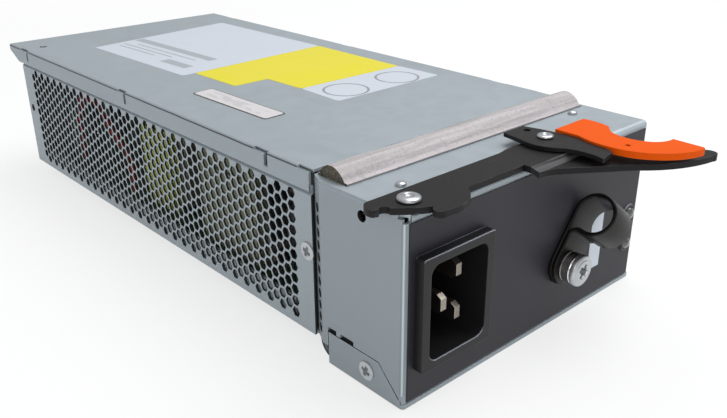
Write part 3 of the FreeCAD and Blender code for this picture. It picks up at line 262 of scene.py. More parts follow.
class Finish:
    """The node tree of a material, or of another owner such as a world."""

    def __init__(self, name, owner=None):
        self.material = owner or bpy.data.materials.new(name)
        self.material.use_nodes = True
        self.tree = self.material.node_tree
        self.tree.nodes.clear()

    def node(self, kind, settings=None, inputs=None):
        """Adds a node; settings first, then its sockets by name or number."""
        made = self.tree.nodes.new(kind)
        for key, value in (settings or {}).items():
            setattr(made, key, value)
        for key, value in (inputs or {}).items():
            if isinstance(key, int):
                socket = made.inputs[key]
            else:
                socket = next(s for s in made.inputs if s.name == key and s.enabled)
            if isinstance(value, Value):
                self.tree.links.new(value.output, socket)
            elif hasattr(value, "__len__") and socket.type == "RGBA" and len(value) == 3:
                socket.default_value = (*value, 1.0)
            else:
                socket.default_value = value
        return {o.name: Value(self, o) for o in made.outputs if o.enabled}

    def place(self, stretch=(1, 1, 1)):
        """Point of the surface in the part's frame, in metres."""
        where = self.node("ShaderNodeTexCoord")["Object"]
        if stretch == (1, 1, 1):
            return where
        return self.node("ShaderNodeMapping", {}, {"Vector": where, "Scale": stretch})["Vector"]

    def axes(self):
        parts = self.node("ShaderNodeSeparateXYZ", {}, {"Vector": self.place()})
        return parts["X"], parts["Y"], parts["Z"]

    def facing(self):
        parts = self.node("ShaderNodeSeparateXYZ", {},
                          {"Vector": self.node("ShaderNodeNewGeometry")["Normal"]})
        return parts["X"], parts["Y"], parts["Z"]

    def noise(self, scale, stretch=(1, 1, 1), detail=3.0, roughness=0.5):
        return self.node("ShaderNodeTexNoise", {}, {
            "Vector": self.place(stretch), "Scale": scale, "Detail": detail,
            "Roughness": roughness})["Fac"]

    def cells(self, scale):
        """Flat grey value per crystal."""
        made = self.node("ShaderNodeTexVoronoi", {}, {"Vector": self.place(), "Scale": scale})
        return self.node("ShaderNodeSeparateColor", {}, {"Color": made["Color"]})["Red"]

    def mix(self, factor, first, second):
        return self.node("ShaderNodeMix", {"data_type": "RGBA"},
                         {"Factor": factor, "A": first, "B": second})["Result"]

    def bump(self, height, depth, strength=1.0, rounded=None):
        inputs = {"Height": height, "Distance": depth, "Strength": strength}
        if rounded:
            inputs["Normal"] = self.rounded(rounded)
        return self.node("ShaderNodeBump", {}, inputs)["Normal"]

    def rounded(self, radius):
        return self.node("ShaderNodeBevel", {"samples": 4}, {"Radius": radius})["Normal"]

    def edge(self, radius, start=0.02, end=0.14):
        """1 along outer edges, where the rounded normal leaves the face's own."""
        flat = self.node("ShaderNodeNewGeometry")["True Normal"]
        dot = self.node("ShaderNodeVectorMath", {"operation": "DOT_PRODUCT"},
                        {0: self.rounded(radius), 1: flat})["Value"]
        return (1 - dot).ramp(start, end)

    def rim(self, radius):
        """1 along the outer edges that look upwards."""
        up = self.node("ShaderNodeSeparateXYZ", {}, {"Vector": self.rounded(radius)})["Z"]
        return self.edge(radius) * up.ramp(0.25, 0.50)

    def surface(self, **sockets):
        """Ends the tree in a Principled shader; socket names have underscores for spaces."""
        inputs = {key.replace("_", " "): value for key, value in sockets.items()}
        shader = self.node("ShaderNodeBsdfPrincipled", {}, inputs)["BSDF"]
        self.node("ShaderNodeOutputMaterial", {}, {"Surface": shader})
        return self.material


FINISHES = {}
FINISH_MAKERS = {}


def finish(maker):
    """Lists a function that fills in a finish, under the function's name."""
    FINISH_MAKERS[maker.__name__] = maker
    return maker


def finish_called(name):
    """The finish of that name, made on first use."""
    if name not in FINISHES:
        FINISHES[name] = FINISH_MAKERS[name](Finish(name))
    return FINISHES[name]


def chosen(group, name):
    """A colour from the settings, as plain numbers."""
    return tuple(getattr(getattr(bpy.context.scene, group), name))


def shade(colour_value, amount):
    """The colour, lighter or darker by a factor."""
    return tuple(channel * amount for channel in colour_value)


def sheltered(f, base, hidden):
    """Darkens the places that no light reaches: hidden laps and the inner faces."""
    x, y, z = f.axes()
    nx = f.facing()[0]
    inward = (x * nx) < -0.005
    base = f.mix(inward * 0.80, base, (0.062, 0.072, 0.058))
    return f.mix(hidden(x, y, z, nx) * 0.93, base, (0.012, 0.012, 0.011))


def lap(x, y, z, nx):
    """The side panels' upper strip, behind the cover's flange, where shade is painted."""
    return (z > low("top_cover").z - 0.12 * MM) * (nx.absolute() > 0.3)


def punched(x, y, z, nx):
    """Walls of the holes, and the strip behind the cover's flange, where shade is painted."""
    return lap(x, y, z, nx).larger(nx.absolute() < 0.3)


def slit(x, y, z, nx):
    """Flanges in the slit before the main case, walls of the band's holes, backs of the notches:
    places where shade is painted.
    """
    shell_front, shell_side = low("front_shell").y, high("front_shell").x
    taper_start = shell_front + 32.0 * MM
    corner_end = shell_front + 1.4 * MM
    holes_low, holes_high = 8.0 * MM, 50.0 * MM         # the band's row of small holes
    tab_top = 14.2 * MM                                 # inner tab behind the notches
    flange_top = 10.6 * MM                              # bottom plate's side flange
    side_hole_low, side_hole_high = 48.0 * MM, 53.0 * MM
    across = nx.absolute() < 0.6                        # walls of holes and cut edges
    behind = y > high("front_top_plate").y + 0.2 * MM
    band = (y > taper_start) * across * (z > holes_low)
    inner = (x.absolute() < shell_side - 0.6 * MM) * (nx.absolute() > 0.98) * (z < tab_top)
    cut = (x.absolute() > shell_side - 1.05 * MM) * across * (y > corner_end)
    cut = cut * (z < flange_top).larger((z > side_hole_low) * (z < side_hole_high))
    return behind.larger(band * (z < holes_high)).larger(inner).larger(cut)


def nowhere(x, y, z, nx):
    """Nothing hidden; a value of the node tree, as the other masks are."""
    return nx * 0.0


@finish
def side_sheet(f):
    """Plain side panels, with painted shade on the strip behind the cover's flange."""
    return zinc_sheet(f, lap)


@finish
def punched_sheet(f):
    """The perforated side, with painted shade on its hole walls."""
    return zinc_sheet(f, punched)


@finish
def front_sheet(f):
    """The front band, with painted highlights along its folds, painted shade beside them and on its
    sideways faces.
    """
    return zinc_sheet(f, slit, 0.9)


@finish
def zinc_sheet(f, hidden=nowhere, folds=0.0):
    """Galvanised sheet: faint crystals, rolling grain, rub marks along the case, dull specks."""
    edge_round = bpy.context.scene.supply_sheet.edge_round
    tint = chosen("supply_sheet", "tint")
    crystals = f.cells(260.0)
    grain = f.noise(2400.0, (1.0, 0.12, 1.0), 2.0)
    cloud = f.noise(22.0, (1.0, 0.5, 1.0), 4.0, 0.55)
    rubs = f.noise(420.0, (1.0, 0.03, 1.0), 3.0, 0.6).ramp(0.60, 0.72)
    patches = f.noise(35.0, detail=2.0).ramp(0.45, 0.70)
    rubs = rubs * patches
    specks = f.noise(950.0, detail=2.0, roughness=0.7).ramp(0.70, 0.76)
    base = f.mix(cloud, shade(tint, 0.90), shade(tint, 1.07))
    base = f.mix(crystals * 0.16, base, shade(tint, 1.25))
    base = f.mix(rubs * 0.28, base, shade(tint, 1.45))
    base = f.mix(specks * 0.22, base, shade(tint, 0.55))
    edges = f.edge(edge_round)
    rough = 0.40 + crystals * 0.06 + grain * 0.10 - rubs * 0.10
    if folds:
        nx, ny, nz = f.facing()
        z = f.axes()[2]
        # Painted highlight on the rounded corner folds and on the top plate's front fold.
        turn = (nx * ny).absolute()
        nose_highlight = (0 - ny * nz).ramp(0.10, 0.30)
        edges = edges.larger((turn.ramp(0.43, 0.49) * (z > 0.004)).larger(nose_highlight * 0.6) * folds)
        # Painted shade in a band beside each corner fold's highlight.
        fold_shade = turn.ramp(0.04, 0.20) * (1 - turn.ramp(0.34, 0.42)) * (z > 0.004)
        base = f.mix(fold_shade * 0.55, base, shade(tint, 0.45))
        # Painted shade: faces that look sideways are darker.
        base = f.mix(nx.absolute() * 0.5, base, shade(tint, 0.74))
        rough = rough - edges * 0.12
    # Painted highlight: edges are lighter, and on the front band also the corner folds and the top
    # plate's front fold.
    base = f.mix(edges * 0.55, base, shade(tint, 2.1))
    base = sheltered(f, base, hidden)
    relief = grain * 0.5 + crystals * 0.25 + cloud * 0.8
    return f.surface(Base_Color=base, Metallic=0.35, Roughness=rough, Specular_IOR_Level=0.5,
                     Normal=f.bump(relief, 0.00003, 0.5, edge_round))


@finish
def cover_sheet(f):
    """The cover's sheet, with the dark line of its fold along each side."""
    edge_round = bpy.context.scene.supply_sheet.edge_round
    tint = chosen("supply_sheet", "tint")
    y, z = f.axes()[1:]
    nx = f.facing()[0]
    crystals = f.cells(240.0)
    grain = f.noise(2400.0, (0.12, 1.0, 1.0), 2.0)
    cloud = f.noise(16.0, (1.0, 0.6, 1.0), 4.0, 0.55)
    rubs = f.noise(380.0, (0.04, 1.0, 1.0), 3.0, 0.6).ramp(0.62, 0.72)
    patches = f.noise(28.0, detail=2.0).ramp(0.48, 0.72)
    specks = f.noise(900.0, detail=2.0, roughness=0.7).ramp(0.71, 0.77)
    fold_height = high("top_cover").z - 0.62 * MM
    wander = f.noise(90.0, (0, 1.0, 0), 3.0) * 0.00022
    line = 1 - (z + wander - fold_height - 0.0001).absolute().ramp(0.00012, 0.00028)
    line = line * nx.absolute().ramp(0.1, 0.5)
    smudge = f.noise(70.0, (1.0, 0.3, 1.0), 3.0).ramp(0.52, 0.75)
    base = f.mix(cloud, shade(tint, 0.94), shade(tint, 1.06))
    base = f.mix(crystals * 0.12, base, shade(tint, 1.22))
    base = f.mix(rubs * patches * 0.22, base, shade(tint, 1.4))
    base = f.mix(specks * 0.20, base, shade(tint, 0.55))
    base = f.mix(smudge * 0.12, base, shade(tint, 0.72))
    # Painted highlight: edges are lighter.
    base = f.mix(f.edge(edge_round) * 0.4, base, shade(tint, 1.9))
    front = low("top_cover").y
    # Painted shade on the side flanges along the cover's front edge, where it meets the front
    # section.
    front_gap_shade = (y < front + 0.7 * MM) * (nx.absolute() > 0.5) * (z < fold_height)
    base = f.mix(line.larger(front_gap_shade) * 0.92, base, (0.030, 0.024, 0.020))
    base = sheltered(f, base, nowhere)
    rough = 0.38 + crystals * 0.06 + grain * 0.10 + cloud * 0.06
    relief = grain * 0.4 + crystals * 0.2 + cloud * 0.8 - line * 2.0
    return f.surface(Base_Color=base, Metallic=0.35, Roughness=rough, Specular_IOR_Level=0.5,
                     Normal=f.bump(relief, 0.00003, 0.5, edge_round))


@finish
def bright_zinc(f):
    """Plated screws and rivets, with fine scratches and dull patches."""
    scratches = f.noise(3200.0, (1.0, 0.15, 1.0), 3.0)
    dull = f.noise(500.0, detail=2.0)
    base = f.mix(dull, (0.42, 0.44, 0.46), (0.56, 0.58, 0.60))
    return f.surface(Base_Color=base, Metallic=0.9, Roughness=0.26 + dull * 0.08,
                     Normal=f.bump(scratches, 0.000004, 0.25))


@finish
def recess_shadow(f):
    """Floor of a driver recess: bare metal in painted shade, mottled."""
    shade_mottle = f.noise(1200.0)
    base = f.mix(shade_mottle, (0.10, 0.11, 0.12), (0.30, 0.32, 0.34))
    return f.surface(Base_Color=base, Metallic=0.5, Roughness=0.45 + shade_mottle * 0.2,
                     Normal=f.bump(shade_mottle, 0.00002, 0.5))


@finish
def dark_sleeve(f):
    """Sleeve with a dark knurled waist between two bright rims."""
    x, y, z = f.axes()
    screw = middle("clamp_screw")
    turn = (z - screw.z).angle_over(x - screw.x)
    knurl = (turn * 36.0 + y * 9000.0).wave() * (turn * 36.0 - y * 9000.0).wave()
    away = (y - middle("clamp_collar").y).absolute()
    band = away.ramp(0.0010, 0.0013)
    # Painted shade: the knurl is darker in its grooves than on its crests.
    base = f.mix(knurl.ramp(0.2, 0.8) * (1 - band), (0.09, 0.085, 0.08), (0.32, 0.31, 0.30))
    base = f.mix(band, base, (0.74, 0.73, 0.75))
    relief = knurl * (1 - band) * 0.1 + band * (1 - away.ramp(0.0012, 0.0026)) * 0.8
    return f.surface(Base_Color=base, Metallic=0.95, Roughness=0.16 + knurl * 0.05,
                     Normal=f.bump(relief, 0.00100, 0.8, 0.4 * MM))


@finish
def black_steel(f):
    """Blackened lever and latch: satin, speckled, lighter along its edges from wear and painted
    highlight, with a streaked painted reflection where it faces forward and up.
    """
    black = chosen("supply_trim", "steel_black")
    speckle = f.noise(1500.0, roughness=0.65)
    cloud = f.noise(90.0)
    nicks = f.noise(520.0, detail=2.0, roughness=0.6).ramp(0.66, 0.74)
    base = f.mix(speckle * 0.6, black, shade(black, 2.0))
    base = f.mix(cloud * 0.35, base, shade(black, 1.8))
    base = f.mix(nicks * 0.12, base, (0.18, 0.18, 0.19))
    ny, nz = f.facing()[1:]
    streaks = f.noise(500.0, (0.08, 1.0, 1.0), 3.0, 0.6)
    # Painted reflection: surfaces that face forward and up are lighter, in streaks.
    facet_reflection = (0 - ny * nz).ramp(0.30, 0.42) * streaks.ramp(0.35, 0.60)
    # Edges lighter in patches: partly wear, partly painted highlight.
    wear_and_edge_highlight = f.edge(0.30 * MM) * f.noise(300.0).ramp(0.30, 0.60)
    base = f.mix(wear_and_edge_highlight * 0.55, base, (0.19, 0.19, 0.20))
    base = f.mix(facet_reflection * 0.45, base, (0.20, 0.20, 0.21))
    return f.surface(Base_Color=base, Metallic=0.20, Roughness=0.42 + speckle * 0.16,
                     Specular_IOR_Level=0.22,
                     Normal=f.bump(speckle + cloud, 0.00004, 0.6, 0.25 * MM))


@finish
def orange_grip(f):
    """Moulded grip: fine spark texture, slightly darker in patches."""
    orange = chosen("supply_trim", "orange")
    spark = f.noise(2600.0, detail=2.0)
    cloud = f.noise(60.0)
    base = f.mix(cloud * 0.5, orange, shade(orange, 0.90))
    # Painted highlight: edges are lighter.
    base = f.mix(f.edge(0.45 * MM) * 0.25, base, (1.0, 0.22, 0.04))
    return f.surface(Base_Color=base, Roughness=0.42 + spark * 0.12, Specular_IOR_Level=0.07,
                     Subsurface_Weight=0.03, Subsurface_Radius=(0.002, 0.0008, 0.0004),
                     Subsurface_Scale=0.5,
                     Normal=f.bump(spark, 0.00003, 0.4, 0.35 * MM))


@finish
def face_film(f):
    """Matt printed film: fine grain and faint handling marks."""
    black = chosen("supply_trim", "film_black")
    grain = f.noise(3500.0, detail=2.0)
    dust = f.noise(1400.0, detail=2.0, roughness=0.7).ramp(0.70, 0.77)
    wipe = f.noise(30.0, (1.0, 1.0, 0.4), 4.0, 0.6)
    base = f.mix(grain * 0.5, black, shade(black, 1.35))
    base = f.mix(wipe * 0.35, base, shade(black, 1.5))
    base = f.mix(dust * 0.10, base, (0.35, 0.35, 0.36))
    return f.surface(Base_Color=base, Roughness=0.42 + grain * 0.12 + wipe * 0.08,
                     Specular_IOR_Level=0.41, Normal=f.bump(grain, 0.00002, 0.5))


@finish
def black_moulding(f):
    """Moulded inlet and output connector."""
    black = chosen("supply_trim", "moulding_black")
    spark = f.noise(2800.0, detail=2.0)
    dust = f.noise(900.0, roughness=0.7).ramp(0.66, 0.76)
    base = f.mix(spark * 0.5, black, shade(black, 1.5))
    base = f.mix(dust * 0.06, base, (0.30, 0.30, 0.30))
    # Painted highlights: edges are lighter, and much lighter where they look upwards.
    base = f.mix(f.edge(0.35 * MM) * 0.5, base, (0.10, 0.10, 0.105))
    base = f.mix(f.rim(0.6 * MM) * 0.9, base, (0.62, 0.64, 0.76))
    return f.surface(Base_Color=base, Roughness=0.32 + spark * 0.12, Specular_IOR_Level=0.26,
                     Normal=f.bump(spark, 0.00002, 0.5, 0.3 * MM))


@finish
def dipped_vinyl(f):
    """Glossy dipped strap with slow ripples in its skin."""
    black = chosen("supply_trim", "vinyl_black")
    ripple = f.noise(130.0)
    dust = f.noise(1100.0, detail=2.0, roughness=0.7).ramp(0.69, 0.76)
    base = f.mix(dust * 0.12, black, (0.25, 0.24, 0.23))
    return f.surface(Base_Color=base, Roughness=0.34 + dust * 0.2 + ripple * 0.10,
                     Specular_IOR_Level=0.18, Coat_Weight=0.05, Coat_Roughness=0.12,
                     Normal=f.bump(ripple, 0.00025, 0.5))


@finish
def plated_pins(f):
    """Nickel on brass, brassier where the socket has rubbed."""
    wear = f.noise(500.0, (1.0, 0.1, 1.0), 3.0)
    base = f.mix(wear, (0.40, 0.36, 0.30), (0.26, 0.23, 0.20))
    # Painted highlight: edges are lighter.
    base = f.mix(f.edge(0.25 * MM) * 0.7, base, (0.78, 0.74, 0.66))
    return f.surface(Base_Color=base, Metallic=1.0, Roughness=0.28 + wear * 0.16,
                     Normal=f.bump(wear, 0.00002, 0.5, 0.2 * MM))


@finish
def woven_gasket(f):
    """Metallised taffeta: fine weave, creases across, streaks rubbed along its length."""
    x, y, z = f.axes()
    tint = chosen("supply_trim", "gasket_fabric")
    weave = (x * 9000.0).wave() * (y * 9000.0 + z * 6000.0).wave()
    creases = f.noise(420.0, (1.0, 0.22, 0.22), 4.0, 0.65)
    streaks = f.noise(700.0, (0.05, 1.0, 1.0), 4.0, 0.65)
    mottle = f.noise(1900.0, (0.7, 1, 1), 3.0, 0.7)
    cloud = f.noise(60.0)
    base = f.mix(streaks.ramp(0.38, 0.62), shade(tint, 0.80), shade(tint, 1.14))
    base = f.mix(cloud * 0.5, base, (0.45, 0.39, 0.40))
    base = f.mix(creases.ramp(0.56, 0.70) * 0.40, base, shade(tint, 0.55))
    base = f.mix(mottle.ramp(0.50, 0.68) * 0.60, base, shade(tint, 0.58))
    relief = weave * 0.3 + creases * 2.0 + streaks * 0.8 + mottle * 0.5
    return f.surface(Base_Color=base, Metallic=0.15, Roughness=0.55 + weave * 0.05,
                     Sheen_Weight=0.15, Sheen_Roughness=0.5,
                     Normal=f.bump(relief, 0.00012, 0.7))


@finish
def grey_foam(f):
    """Cut foam at the gasket's ends: open pores."""
    pores = f.node("ShaderNodeTexVoronoi", {}, {"Vector": f.place(), "Scale": 1700.0})["Distance"]
    # Painted shade: darker in the pores.
    base = f.mix(pores.ramp(0.15, 0.7), (0.055, 0.050, 0.038), (0.15, 0.135, 0.105))
    return f.surface(Base_Color=base, Roughness=0.95, Normal=f.bump(pores, 0.0004, 0.8))


def paper_with(f, tint, marks=None):
    """Label stock: faint fibre, slight soiling near rubbed places, optional plain marks."""
    fibre = f.noise(2200.0)
    soil = f.noise(45.0, detail=4.0, roughness=0.6).ramp(0.45, 0.75)
    base = f.mix(fibre * 0.4, tint, shade(tint, 0.93))
    base = f.mix(soil * 0.18, base, shade(tint, 0.80))
    if marks:
        base = f.mix(marks, base, (0.20, 0.21, 0.23))
    return f.surface(Base_Color=base, Roughness=0.34 + soil * 0.15, Specular_IOR_Level=0.45,
                     Normal=f.bump(fibre, 0.00001, 0.4))


def ring_mark(x, y, centre, radius, width):
    """1 on a ring, whose width is a share of its radius."""
    dx = (x - centre[0] * MM) / radius
    dy = (y - centre[1] * MM) / radius
    away = ((dx * dx + dy * dy).root() - 1.0).absolute()
    return 1 - away.ramp(width * 0.6, width)


def bar_mark(x, y, box):
    """1 inside a plain bar (x0, x1, y0, y1 in millimetres)."""
    x0, x1, y0, y1 = (side * MM for side in box)
    return (x > x0) * (x < x1) * (y > y0) * (y < y1)


def on_label(f):
    """Across the cover, and back from its front edge."""
    x, y = f.axes()[:2]
    return x, y - low("top_cover").y


@finish
def white_label(f):
    """Rating plate: blank bars where its print would be."""
    x, y = on_label(f)
    slant = x + (y - 150 * MM) * 0.05           # the bars lean with the label's edges
    bars = [bar_mark(slant, y, box) for box in RATING_BARS]
    marks = functools.reduce(Value.larger, bars) * 0.55
    return paper_with(f, chosen("supply_labels", "paper"), marks)


@finish
def circled_label(f):
    """White plate with two outlined circles."""
    x, y = on_label(f)
    rings = [ring_mark(x, y, centre, 8.0 * MM, 0.07) for centre in CIRCLE_CENTRES]
    marks = functools.reduce(Value.larger, rings) * 0.85
    return paper_with(f, chosen("supply_labels", "paper"), marks)


@finish
def yellow_label(f):
    """Plain yellow plate."""
    return paper_with(f, chosen("supply_labels", "yellow"))


@finish
def plain_paper(f):
    """Plain white paper, a little brighter."""
    return paper_with(f, shade(chosen("supply_labels", "paper"), 1.12))


@finish
def sticker_paper(f):
    """Small sticker: a faint plain band where its print would be."""
    band = bar_mark(*on_label(f), STICKER_BAND)
    marks = band * f.noise(500.0, (1, 0.5, 1), 2.0).ramp(0.45, 0.60) * 0.25
    return paper_with(f, (0.62, 0.60, 0.62), marks)


@finish
def dark_border(f):
    """Dark rim of the small sticker."""
    return paper_with(f, (0.07, 0.06, 0.06))


@finish
def lamp_lens(f):
    """Water-clear lens over an unlit dark chip."""
    depth = f.noise(900.0, detail=2.0)
    base = f.mix(depth, (0.035, 0.04, 0.036), (0.10, 0.11, 0.10))
    return f.surface(Base_Color=base, Roughness=0.06, Specular_IOR_Level=0.7, Coat_Weight=1.0,
                     Coat_Roughness=0.03, Normal=f.bump(depth, 0.0001, 0.2))


@finish
def solder_mask(f):
    """Circuit board: green mask, tracks and tinned pads."""
    tracks = f.node("ShaderNodeTexBrick", {"offset": 0.37}, {
        "Vector": f.place(), "Scale": 160.0, "Mortar Size": 0.12, "Color1": (1, 1, 1),
        "Color2": (0.6, 0.6, 0.6), "Mortar": (0, 0, 0)})["Fac"]
    pads = f.node("ShaderNodeTexVoronoi", {}, {"Vector": f.place(), "Scale": 330.0})["Distance"]
    tinned = 1 - pads.ramp(0.14, 0.18)
    base = f.mix(tracks, (0.022, 0.055, 0.030), (0.035, 0.085, 0.045))
    base = f.mix(tinned * 0.8, base, (0.55, 0.55, 0.52))
    return f.surface(Base_Color=base, Roughness=0.35 + tinned * 0.1, Metallic=tinned * 0.6,
                     Normal=f.bump(tracks, 0.00005, 0.5))


@finish
def potted_board(f):
    """Dark board with pale smears of potting compound."""
    smears = f.noise(110.0, roughness=0.6)
    base = f.mix(smears.ramp(0.50, 0.62), (0.022, 0.024, 0.024), (0.30, 0.27, 0.26))
    return f.surface(Base_Color=base, Roughness=0.45 + smears * 0.2,
                     Normal=f.bump(smears, 0.0004, 0.6))


def plain_plastic(f, look):
    """Moulded or taped surface of one colour."""
    tint, rough, grain = look
    spark = f.noise(grain)
    cloud = f.noise(80.0)
    base = f.mix(cloud, shade(tint, 0.82), shade(tint, 1.12))
    return f.surface(Base_Color=base, Roughness=rough + spark * 0.12,
                     Normal=f.bump(spark, 0.00003, 0.5, 0.25 * MM))


@finish
def wound_copper(f):
    """Enamelled turns side by side."""
    turns = (f.axes()[2] * 5200.0).wave()
    cloud = f.noise(200.0, detail=2.0)
    # Painted shade: darker between the turns, lighter on their crowns.
    base = f.mix(turns * 0.5 + 0.5, (0.06, 0.03, 0.015), (0.34, 0.18, 0.09))
    return f.surface(Base_Color=base, Metallic=0.55, Roughness=0.30 + cloud * 0.15,
                     Normal=f.bump(turns, 0.0003, 0.8))


@finish
def taped_coil(f):
    """Yellow polyester tape in overlapping turns."""
    x, _, z = f.axes()
    laps = (z * 900.0 + x * 60.0).wave().ramp(-0.2, 0.2)
    cloud = f.noise(160.0)
    base = f.mix(laps, (0.46, 0.52, 0.10), (0.60, 0.66, 0.16))
    base = f.mix(cloud * 0.3, base, (0.30, 0.34, 0.10))
    return f.surface(Base_Color=base, Roughness=0.30 + cloud * 0.2,
                     Normal=f.bump(laps, 0.0001, 0.6))


@finish
def sink_metal(f):
    """Extruded heatsink with drawn lines."""
    lines = f.noise(1800.0, (1.0, 0.04, 1.0), 2.0)
    base = f.mix(lines, (0.52, 0.60, 0.58), (0.72, 0.80, 0.76))
    return f.surface(Base_Color=base, Metallic=0.8, Roughness=0.34 + lines * 0.15,
                     Normal=f.bump(lines, 0.00003, 0.6, 0.2 * MM))


@finish
def sleeved_can(f, tint=(0.03, 0.035, 0.055)):
    """Capacitor sleeve with a lighter polarity stripe."""
    stripe = (f.axes()[1] * 224.4).wave().ramp(0.75, 0.85)
    gloss = f.noise(300.0, detail=2.0)
    base = f.mix(stripe * 0.7, tint, (0.42, 0.42, 0.42))
    return f.surface(Base_Color=base, Roughness=0.25 + gloss * 0.1, Coat_Weight=0.3,
                     Normal=f.bump(gloss, 0.00005, 0.4))


@finish
def green_can(f):
    """Sleeve of the output capacitors."""
    return sleeved_can(f, (0.13, 0.21, 0.18))


@finish
def red_wire(f):
    """Glossy insulated lead."""
    gloss = f.noise(400.0, detail=2.0)
    base = f.mix(gloss, (0.60, 0.03, 0.03), (0.85, 0.07, 0.06))
    return f.surface(Base_Color=base, Roughness=0.3 + gloss * 0.1,
                     Normal=f.bump(gloss, 0.00005, 0.4))


PLASTICS = {        # colour, roughness, grain
    "ferrite": ((0.13, 0.13, 0.10), 0.55, 900.0),
    "insulator": ((0.36, 0.38, 0.33), 0.4, 1800.0),
    "device_black": ((0.035, 0.035, 0.04), 0.45, 1800.0),
    "taped_choke": ((0.26, 0.27, 0.17), 0.4, 700.0),
    "connector_gold": ((0.70, 0.52, 0.22), 0.3, 1800.0),
}
for plastic, look in PLASTICS.items():
    FINISH_MAKERS[plastic] = functools.partial(plain_plastic, look=look)


def dress(finish, *nodes):
    """Gives CAD nodes a finish."""
    for node in nodes:
        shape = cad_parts[node]
        if not shape.material_slots:
            shape.data.materials.append(None)
        for slot in shape.material_slots:
            slot.material = finish_called(finish)


# ---- mesh helpers -----------------------------------------------------------------------------
def piece(name, verts, faces, finish, body="case", smooth=None):
    """Mesh object in the part's frame that rides on a body."""
    mesh = bpy.data.meshes.new(name)
    mesh.from_pydata([tuple(v) for v in verts], [], faces)
    mesh.validate()
    mesh.update()
    return place_piece(name, mesh, finish, body, smooth)


def place_piece(name, mesh, finish, body="case", smooth=None):
    """Adds a mesh to the scene with its finish, and ties it to a body."""
    made = bpy.data.objects.new(name, mesh)
    bpy.context.scene.collection.objects.link(made)
    if finish:
        mesh.materials.append(finish_called(finish))
    if smooth is not None:
        mesh.shade_smooth()
        mesh.set_sharp_from_angle(angle=math.radians(smooth))
    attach(made, body)
    return made


def belt(count, rings=2, first=0):
    """Quads between rings of vertices that follow each other."""
    return [[a + k, a + (k + 1) % count, a + count + (k + 1) % count, a + count + k]
            for a in range(first, first + (rings - 1) * count, count) for k in range(count)]


def turned(faces):
    """The same faces seen from behind; each keeps its first corner, so its split stays."""
    return [face[:1] + face[:0:-1] for face in faces]


def outline_plate(name, outline, z0, z1, finish, body="case", corner=0.0, bevel=0.0):
    """Upright prism on an outline of (x, y) points, its corners rounded."""
    points = rounded_outline(outline, corner) if corner else [Vector(p) for p in outline]
    count = len(points)
    verts = [(p.x, p.y, z0) for p in points] + [(p.x, p.y, z1) for p in points]
    faces = [list(range(count))[::-1], [count + k for k in range(count)]] + belt(count)
    made = piece(name, verts, faces, finish, body)
    if bevel:
        modifier = made.modifiers.new("edge", "BEVEL")
        modifier.width = bevel
        modifier.segments = 2
    return made


def rounded_outline(outline, radius, steps=4):
    """Outline whose corners are turned in arcs."""
    points = []
    corners = [Vector(p) for p in outline]
    for k, corner in enumerate(corners):
        before = (corners[k - 1] - corner).normalized()
        after = (corners[(k + 1) % len(corners)] - corner).normalized()
        angle = before.angle(after) / 2
        reach = radius / math.tan(angle)
        start = corner + before * reach
        end = corner + after * reach
        centre = corner + (before + after).normalized() * (radius / math.sin(angle))
        for step in range(steps + 1):
            blend = start.lerp(end, step / steps) - centre
            points.append(centre + blend.normalized() * radius)
    return points


def punched_plate(outline, holes, x0, x1):
    """Upright plate between two x planes; outline and holes are loops of (y, z) points."""
    points, edges, owner = [], [], []
    for number, loop in enumerate([outline, *holes]):
        first = len(points)
        points += [Vector(p) for p in loop]
        owner += [number] * len(loop)
        edges += [(first + k, first + (k + 1) % len(loop)) for k in range(len(loop))]
    flat, _, triangles, source, _, _ = delaunay_2d_cdt(points, edges, [], 0, 1e-7)
    loops_of = [{owner[o] for o in s} for s in source]
    shape = bmesh.new()
    near = [shape.verts.new((x0, p.x, p.y)) for p in flat]
    for triangle in triangles:
        shared = set.intersection(*[loops_of[v] for v in triangle])
        if not shared or shared == {0}:         # three corners on one hole lie inside it
            shape.faces.new([near[v] for v in triangle])
    grown = bmesh.ops.extrude_face_region(shape, geom=shape.faces[:])
    moved = [v for v in grown["geom"] if isinstance(v, bmesh.types.BMVert)]
    bmesh.ops.translate(shape, vec=(x1 - x0, 0, 0), verts=moved)
    return shape


def add_prism(shape, profile, y0, y1):
    """Adds a closed prism along y; the profile is a loop of (x, z) points."""
    ends = [[shape.verts.new((x, y, z)) for x, z in profile] for y in (y0, y1)]
    shape.faces.new(ends[0])
    shape.faces.new(ends[1][::-1])
    for k in range(len(profile)):
        after = (k + 1) % len(profile)
        shape.faces.new([ends[0][k], ends[1][k], ends[1][after], ends[0][after]])


def arc(centre, radius, start, end, steps):
    """Points on an arc, with both of its ends."""
    angles = [start + (end - start) * k / steps for k in range(steps + 1)]
    return [(centre[0] + radius * math.cos(t), centre[1] + radius * math.sin(t)) for t in angles]


def relief_disc(name, centre, axis, radius, height, finish, body, rings=22, sides=64, foot=0.0):
    """Round head: height(r, angle) over a polar grid, with a wall down to its seat."""
    centre = Vector(centre)
    turn = Vector(axis).to_track_quat("Z", "Y").to_matrix()
    verts = [centre + turn @ Vector((0, 0, height(0.0, 0.0)))]
    for ring in range(1, rings + 1):
        r = radius * ring / rings
        for side in range(sides):
            angle = math.tau * side / sides
            verts.append(centre + turn @ Vector((r * math.cos(angle), r * math.sin(angle),
                                                 height(r, angle))))
    faces = [[0, 1 + side, 1 + (side + 1) % sides] for side in range(sides)]
    seat = len(verts)
    for side in range(sides):
        angle = math.tau * side / sides
        verts.append(centre + turn @ Vector((radius * math.cos(angle), radius * math.sin(angle),
                                             -foot)))
    faces += turned(belt(sides, rings + 1, first=1))
    faces.append([seat + side for side in range(sides)][::-1])
    return piece(name, verts, faces, finish, body, smooth=42)


def step_down(value, start, end):
    """1 below start, 0 above end, smooth between."""
    t = min(1.0, max(0.0, (end - value) / (end - start)))
    return t * t * (3 - 2 * t)


